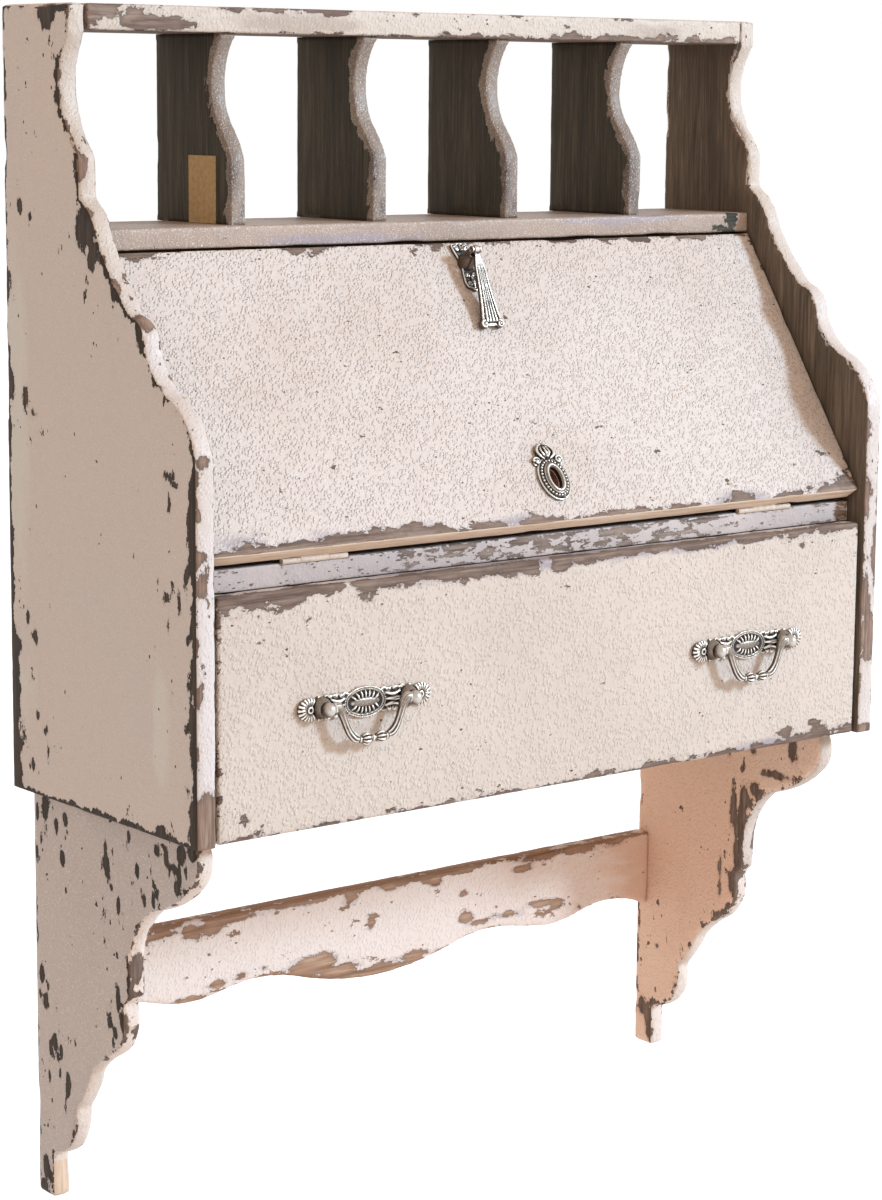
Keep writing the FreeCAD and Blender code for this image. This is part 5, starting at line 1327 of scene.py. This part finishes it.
def bailLoop(clay):
    hang = pull["postReach"]
    out = hang + pull["bow"]
    low = -pull["drop"]
    grip, half, pin, long = pull["grip"], pull["gripHalf"], pull["pin"], pull["pinLong"]
    clay.spin([(0, -half), (grip, -half), (grip, half), (0, half)],
              Matrix.Translation((0, low, out)) @ sideways)
    for side in (-1, 1):
        clay.spin([(0, 0), (pin, 0), (pin, long), (0, long)],
                  Matrix.Translation((side * pull["pinStart"], 0, hang)) @ sideways
                  @ Matrix.Diagonal((1, 1, side, 1)))
        arm = [Vector((side * u, v, hang + pull["bow"] * bow)) for u, v, bow, _ in armLine]
        clay.strand(arm, [half for _, _, _, half in armLine], 0.85)
        # three flutes down the front of the arm
        for lean in (-48, 0, 48):
            ridge, widths = [], []
            for i in range(2, len(arm) - 1):
                ahead = (arm[i + 1] - arm[i - 1]).normalized()
                across = ahead.cross(Vector((0, 0, 1))).normalized()
                c, s = turnedTo(lean)
                wide = armLine[i][3]
                ridge.append(arm[i] + across * s * (wide - 0.45) + Vector((0, 0, c * (wide * 0.85 - 0.35))))
                widths.append(0.45 + 0.6 * min(1, (i - 2) / 3))
            clay.strand(ridge, widths)
        clay.spin([(0, -1.0), (2.5, -1.0), (pull["collar"], 0), (2.5, 1.0), (0, 1.0)],
                  Matrix.Translation((side * pull["collarAt"], low, out)) @ sideways)
        # melon bead: lobes round a core
        beadHalf, core = pull["bead"]
        clay.blob((side * pull["beadAt"], low, out), (beadHalf, core * 0.92, core * 0.92))
        for k in range(pull["lobes"]):
            c, s = turnedTo((k + 0.5) * 360 / pull["lobes"])
            arc = []
            for step in range(-4, 5):
                angle = step * 0.36
                reach = core * math.cos(angle)
                arc.append((side * pull["beadAt"] + beadHalf * math.sin(angle), low + reach * c,
                            out + reach * s))
            clay.strand(arc, [0.4, 0.6, 0.85, 1.0, 1.0, 1.0, 0.85, 0.6, 0.4])
    clay.spin([(0, -0.7), (2.6, -0.7), (2.6, 0.7), (0, 0.7)], Matrix.Translation((0, low, out)) @ sideways)


for hand in ("left", "right"):
    plateLow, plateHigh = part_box("pull_plate_" + hand)
    pivot = Vector(joints["bail_%s_swing" % hand]["pos_m"])
    middle = Vector(((plateLow.x + plateHigh.x) / 2, plateHigh.y, pivot.z))
    place = Matrix.Translation(middle) @ outwards @ millimetres
    clay = Clay()
    pullPlate(clay)
    finishMetal(clay.cast("pullPlate_" + hand, place, 0.48), "pull_plate_" + hand, "drawer")
    clay = Clay()
    bailLoop(clay)
    finishMetal(clay.cast("bailLoop_" + hand, place, 0.42), "bail_" + hand, "bail_" + hand)

# escutcheon, flat on the flap
flapFace = flapLow.y
escutcheonPlace = (flapTurn @ Matrix.Translation((keyHole["x"], flapFace, keyHole["z"]))
                   @ outwards @ millimetres)
lower = (keyHole["z"] - shieldLow.z) / mm  # from the key slot to the foot
crown = (shieldHigh.z - keyHole["z"]) / mm  # and to the top
clay = Clay()
# a domed oval: rolled rim, beads, a groove and a bright ring round the key slot
clay.ring((15.6, lower - 0.4), (5.0, 9.4), 0, 1.6)
clay.strand([(u, v, 1.5) for u, v in oval((-0.4, 0), (14.8, lower - 1.2), 3)], 1.1, closed=True)
clay.ring((14.0, lower - 2.4), (5.2, 9.6), 0, 2.8)
clay.beads((-0.6, 0), (12.2, lower - 4.2), 1.2, 3.1, 3.1)
clay.ring((10.4, 15.0), (5.2, 9.6), 0, 4.4)
clay.strand([(u, v, 4.4) for u, v in oval((0, 0), (7.4, 11.9), 2.4)], 1.5, 0.8, closed=True)
# leafy crest over it
crest = [(-9, 12), (-15, 13.5), (-16, 18), (-12.4, 22), (-9.4, 22.4), (-9.8, 27), (-7.4, 31),
         (-3, crown - 1.4), (0, crown - 0.5)]
clay.slab(crest + [(-u, v) for u, v in reversed(crest[:-1])], 0, 1.9)
for side in (-1, 1):
    clay.curl((side * 11.6, 17.0), 3.6, 1.15, 90 - side * 90, 1.15, 2.4, side)
    clay.strand([(side * 3, 18.4, 2.6), (side * 7.4, 21.4, 3.6), (side * 8.4, 26.0, 3.0),
                 (side * 5.6, 30.2, 2.4), (side * 1.6, 32.4, 2.0)], [0.8, 1.3, 1.35, 1.1, 0.8])
    for k in range(2):
        clay.strand([(side * 1.4, 19.5, 2.8), (side * (3.0 + k), 23 + k, 3.6),
                     (side * (4.6 - k * 1.6), 27.6 + k * 2, 2.4)], [0.6, 1.0, 0.7])
clay.strand([(0, 18.5, 2.8), (0, 24, 4.0), (0, 29.5, 2.6)], [0.7, 1.4, 0.8])
clay.blob((0, 20.5, 3.6), (1.7, 1.7, 1.9))
finishMetal(clay.cast("escutcheonPlate", escutcheonPlace, 0.42), "escutcheon", "flap")

# pendant: backplate with two ears, and the drop that hangs between them
backLow, backHigh = flatBox("pendant_plate")
pinLow, pinHigh = flatBox("pendant_pivot_pin")
pinMiddle = (pinLow + pinHigh) / 2
pendant = {"reach": (flapFace - pinMiddle.y) / mm, "top": (backHigh.z - pinMiddle.z) / mm,
           "foot": (backLow.z - pinMiddle.z) / mm, "pin": (pinHigh.z - pinLow.z) / 2 / mm,
           "earFrom": 3.0, "earTo": 4.8, "earHalf": 3.1, "eye": 3.9, "eyeHalf": 2.4, "bossLean": 0.24}
pendantPlace = flapTurn @ Matrix.Translation((pinMiddle.x, flapFace, pinMiddle.z)) @ outwards @ millimetres
top, foot, reach = pendant["top"], pendant["foot"], pendant["reach"]
clay = Clay()
outline = [(0, top - 1.4), (-5.0, top - 2.2), (-8.8, top - 2.4), (-8.6, top - 8), (-6.8, 3), (-5.8, -3),
           (-6.4, -9), (-7.8, -16), (-8.6, foot + 5.5), (-7.0, foot + 1.6), (-3.4, foot - 0.4),
           (0, foot - 2.4)]
outline += [(-u, v) for u, v in reversed(outline[1:-1])]
clay.slab(outline, 0, 2.2)
clay.strand([(u * 0.91, v * 0.97 + 0.1, 2.2) for u, v in outline], 0.95, closed=True)
for side in (-1, 1):
    clay.curl((side * 4.4, top - 6.6), 2.9, 0.95, 90 - side * 60, 1.1, 2.6, side)
    clay.curl((side * 4.4, -15.0), 2.4, 0.9, -90 - side * 60, 1.0, 2.5, -side)
    clay.curl((side * 3.8, foot + 5.6), 2.5, 0.9, 90 + side * 60, 1.0, 2.5, side)
clay.strand([(0, top - 3, 2.6), (0, top - 9, 3.4)], [0.8, 1.5])
clay.strand([(0, foot + 0.5, 2.4), (0, foot + 6, 3.2), (0, foot + 12, 2.8)], [0.7, 1.2, 0.8])
earOut = reach - pendant["eye"] - 0.5
# the boss leans down a little from its foot to the ears
leaning = Matrix.Identity(4)
leaning[1][2] = pendant["bossLean"]
clay.spin([(0, 0), (7.6, 0), (7.5, 3.0), (7.1, 6.0), (6.3, 9.0), (5.4, 11.6), (5.0, 13.4), (5.2, earOut),
           (0, earOut)], Matrix.Translation((0, -pendant["bossLean"] * earOut, 0)) @ leaning)
earFrom, earTo, earHalf = pendant["earFrom"], pendant["earTo"], pendant["earHalf"]
for side in (-1, 1):
    # each ear is a bored disc on a short arm
    place = Matrix.Translation((side * (earFrom + earTo) / 2, 0, reach)) @ sideways
    half, bore = (earTo - earFrom) / 2, pendant["pin"] + 0.25
    clay.spin([(bore, -half), (earHalf, -half), (earHalf, half), (bore, half)], place, closed=True)
    clay.slab([(side * earFrom, -2.6), (side * earTo, -2.6), (side * earTo, 2.6), (side * earFrom, 2.6)],
              earOut - 1, reach - bore - 0.4)
finishMetal(clay.cast("pendantPlate", pendantPlace, 0.42, 1), "pendant_plate", "flap")

dropPoints = [flapTurn.inverted() @ vertex.co - pinMiddle for vertex in nodes["pendant_pull"].data.vertices]
longest = max(point.length for point in dropPoints)
footPoints = [point for point in dropPoints if point.length > 0.93 * longest]
footMiddle = sum(footPoints, Vector()) / len(footPoints)
swing = math.atan2(footMiddle.y, -footMiddle.z)
dropPlace = (flapTurn @ Matrix.Translation(pinMiddle) @ Matrix.Rotation(swing, 4, "X")
             @ outwards @ millimetres)
length = max(-(Matrix.Rotation(-swing, 3, "X") @ point).z for point in dropPoints) / mm
clay = Clay()
eye, eyeHalf, bore = pendant["eye"], pendant["eyeHalf"], pendant["pin"] + 0.3
clay.spin([(bore, -eyeHalf), (eye - 0.5, -eyeHalf), (eye, 0), (eye - 0.5, eyeHalf), (bore, eyeHalf)],
          sideways, closed=True)


def bladeHalf(v):
    # half width of the blade at a height below the pivot
    share = min(1.0, max(0.0, (-v - 3) / (length - 9)))
    shoulder = min(1.0, max(0.0, (-v - 5) / 9))
    return 1.7 + 2.4 * shoulder + 1.8 * share + 4.4 * share ** 2.6


levels = [-3.2 - k * (length - 9.5) / 18 for k in range(19)]
blade = [(-bladeHalf(v), v) for v in levels]
clay.slab(blade + [(-u, v) for u, v in reversed(blade)], -2.0, 0.7)
# rolled edges and shallow flutes
for share in (-0.92, -0.5, -0.17, 0.17, 0.5, 0.92):
    rolled = abs(share) > 0.9
    points = [(share * bladeHalf(v), v, 1.0 if rolled else 0.9) for v in levels[::2]]
    clay.strand(points, [(0.10 if rolled else 0.14) * bladeHalf(v) + 0.35 for v in levels[::2]], 0.9)
for side in (-1, 1):
    scroll = (side * 8.4, -length + 4.2)
    clay.pad(scroll, (4.0, 4.0), -2.6, 1.2)
    clay.curl(scroll, 3.3, 1.0, 90 + side * 20, 1.5, 1.5, -side)
clay.slab([(-6, -length + 2.6), (6, -length + 2.6), (7.0, -length + 8), (-7.0, -length + 8)], -2.0, 1.1)
finishMetal(clay.cast("pendantDrop", dropPlace, 0.42, 1), "pendant_pull", "pendant")
print("metalwork ready")

# CAD nodes dressed by their material slot; the pieces above stand in for most of them
bySlot = {"aged_pewter": "agedPewter", "steel": "dullSteel", "painted_steel": "hingePaint",
          "dowel_beech": "dowelBeech", "blank_paper": "plainCard", "bare_pine": "brownPineDeep",
          "painted_pine": "sidePaint"}
for part in frame["record"]["subparts"]:
    cadNode = nodes[part["node"]]
    cadNode.data.materials.clear()
    cadNode.data.materials.append(materials[bySlot[part["material_slot"]]])

# Studio
studio = {
    "writingHeight": 0.75, "floorTone": 0.80, "floorGlow": (0.50, 0.60, 0.70), "floorSize": 40,
    "fillLeft": (0.64, 0.53, 0.45), "fillRight": (0.68, 0.45, 0.28), "fillStrength": 1.24,
    "keyFrom": (43, 23), "keyAway": 8, "keySize": 1.2, "keyPower": 630, "keyColour": (0.565, 0.79, 1.0),
}


def seenShare(shader):
    # 1 for rays that see the backdrop, 0 for rays that carry its light
    rays = shader.add("LightPath").outputs
    return shader.most(rays["Is Camera Ray"], rays["Is Glossy Ray"], rays["Is Transmission Ray"])


# the backdrop looks white and lights the desk with a cool left and a warm right
world = Shader(bpy.data.worlds.new("studioWorld"))
scene.world = world.owner
across = world.add("SeparateXYZ", {0: world.add("TexCoord").outputs["Generated"]}).outputs["X"]
rightShare = world.fit(across, -0.5, 0.5, smooth=False)
fill = world.mix(rightShare, (*studio["fillLeft"], 1), (*studio["fillRight"], 1))
lit = world.add("Background", {"Color": fill, "Strength": studio["fillStrength"]})
seen = world.add("Background", {"Color": (1, 1, 1, 1)})
both = world.add("MixShader", {0: seenShare(world), 1: lit.outputs[0], 2: seen.outputs[0]})
world.add("OutputWorld", {0: both.outputs[0]})

floorLevel = floorHigh.z - studio["writingHeight"]
half = studio["floorSize"] / 2
floorMesh = bpy.data.meshes.new("studioFloor")
floorMesh.from_pydata([(-half, -half, floorLevel), (half, -half, floorLevel),
                       (half, half, floorLevel), (-half, half, floorLevel)], [], [(0, 1, 2, 3)])
floor = newObject("studioFloor", floorMesh)
shader = Shader(bpy.data.materials.new("paleFloor"))
tone = studio["floorTone"]
pale = shader.add("BsdfDiffuse", {"Color": (tone, tone, tone, 1)})
glow = shader.add("Emission", {"Color": (*studio["floorGlow"], 1), "Strength": 1.0})
bright = shader.add("AddShader", {0: pale.outputs[0], 1: glow.outputs[0]})
shown = shader.add("MixShader", {0: seenShare(shader), 1: pale.outputs[0], 2: bright.outputs[0]})
# seen from below the floor is clear
clear = shader.add("BsdfTransparent")
under = shader.add("MixShader", {0: shader.add("NewGeometry").outputs["Backfacing"],
                                 1: shown.outputs[0], 2: clear.outputs[0]})
shader.add("OutputMaterial", {0: under.outputs[0]})
floorMesh.materials.append(shader.owner)

centre = (cadBox[0] + cadBox[1]) / 2
turn, rise = (math.radians(angle) for angle in studio["keyFrom"])
fromKey = Vector((math.sin(turn) * math.cos(rise), -math.cos(turn) * math.cos(rise), math.sin(rise)))
lamp = bpy.data.lights.new("key", "AREA")
lamp.size = studio["keySize"]
lamp.energy = studio["keyPower"]
lamp.color = studio["keyColour"]
key = newObject("key", lamp)
key.location = centre + fromKey * studio["keyAway"]
key.rotation_euler = (-fromKey).to_track_quat("-Z", "Y").to_euler()

view = {"place": (-1.6069, -2.1222, 0.1549), "yaw": 38.555, "pitch": -9.630, "roll": 0.444,
        "lens": 89.67, "sensor": 36}
yaw, pitch, roll = (math.radians(view[name]) for name in ("yaw", "pitch", "roll"))
forward = Vector((math.sin(yaw) * math.cos(pitch), math.cos(yaw) * math.cos(pitch), math.sin(pitch)))
right = Vector((math.cos(yaw), -math.sin(yaw), 0))
up = right.cross(forward)
right, up = (right * math.cos(roll) + up * math.sin(roll), up * math.cos(roll) - right * math.sin(roll))
lens = bpy.data.cameras.new("camera")
lens.lens = view["lens"]
lens.sensor_width = view["sensor"]
camera = newObject("camera", lens)
camera.matrix_world = Matrix((
    (right.x, up.x, -forward.x, view["place"][0]),
    (right.y, up.y, -forward.y, view["place"][1]),
    (right.z, up.z, -forward.z, view["place"][2]),
    (0, 0, 0, 1)))
scene.camera = camera
scene.view_settings.view_transform = "Standard"
print("studio ready")
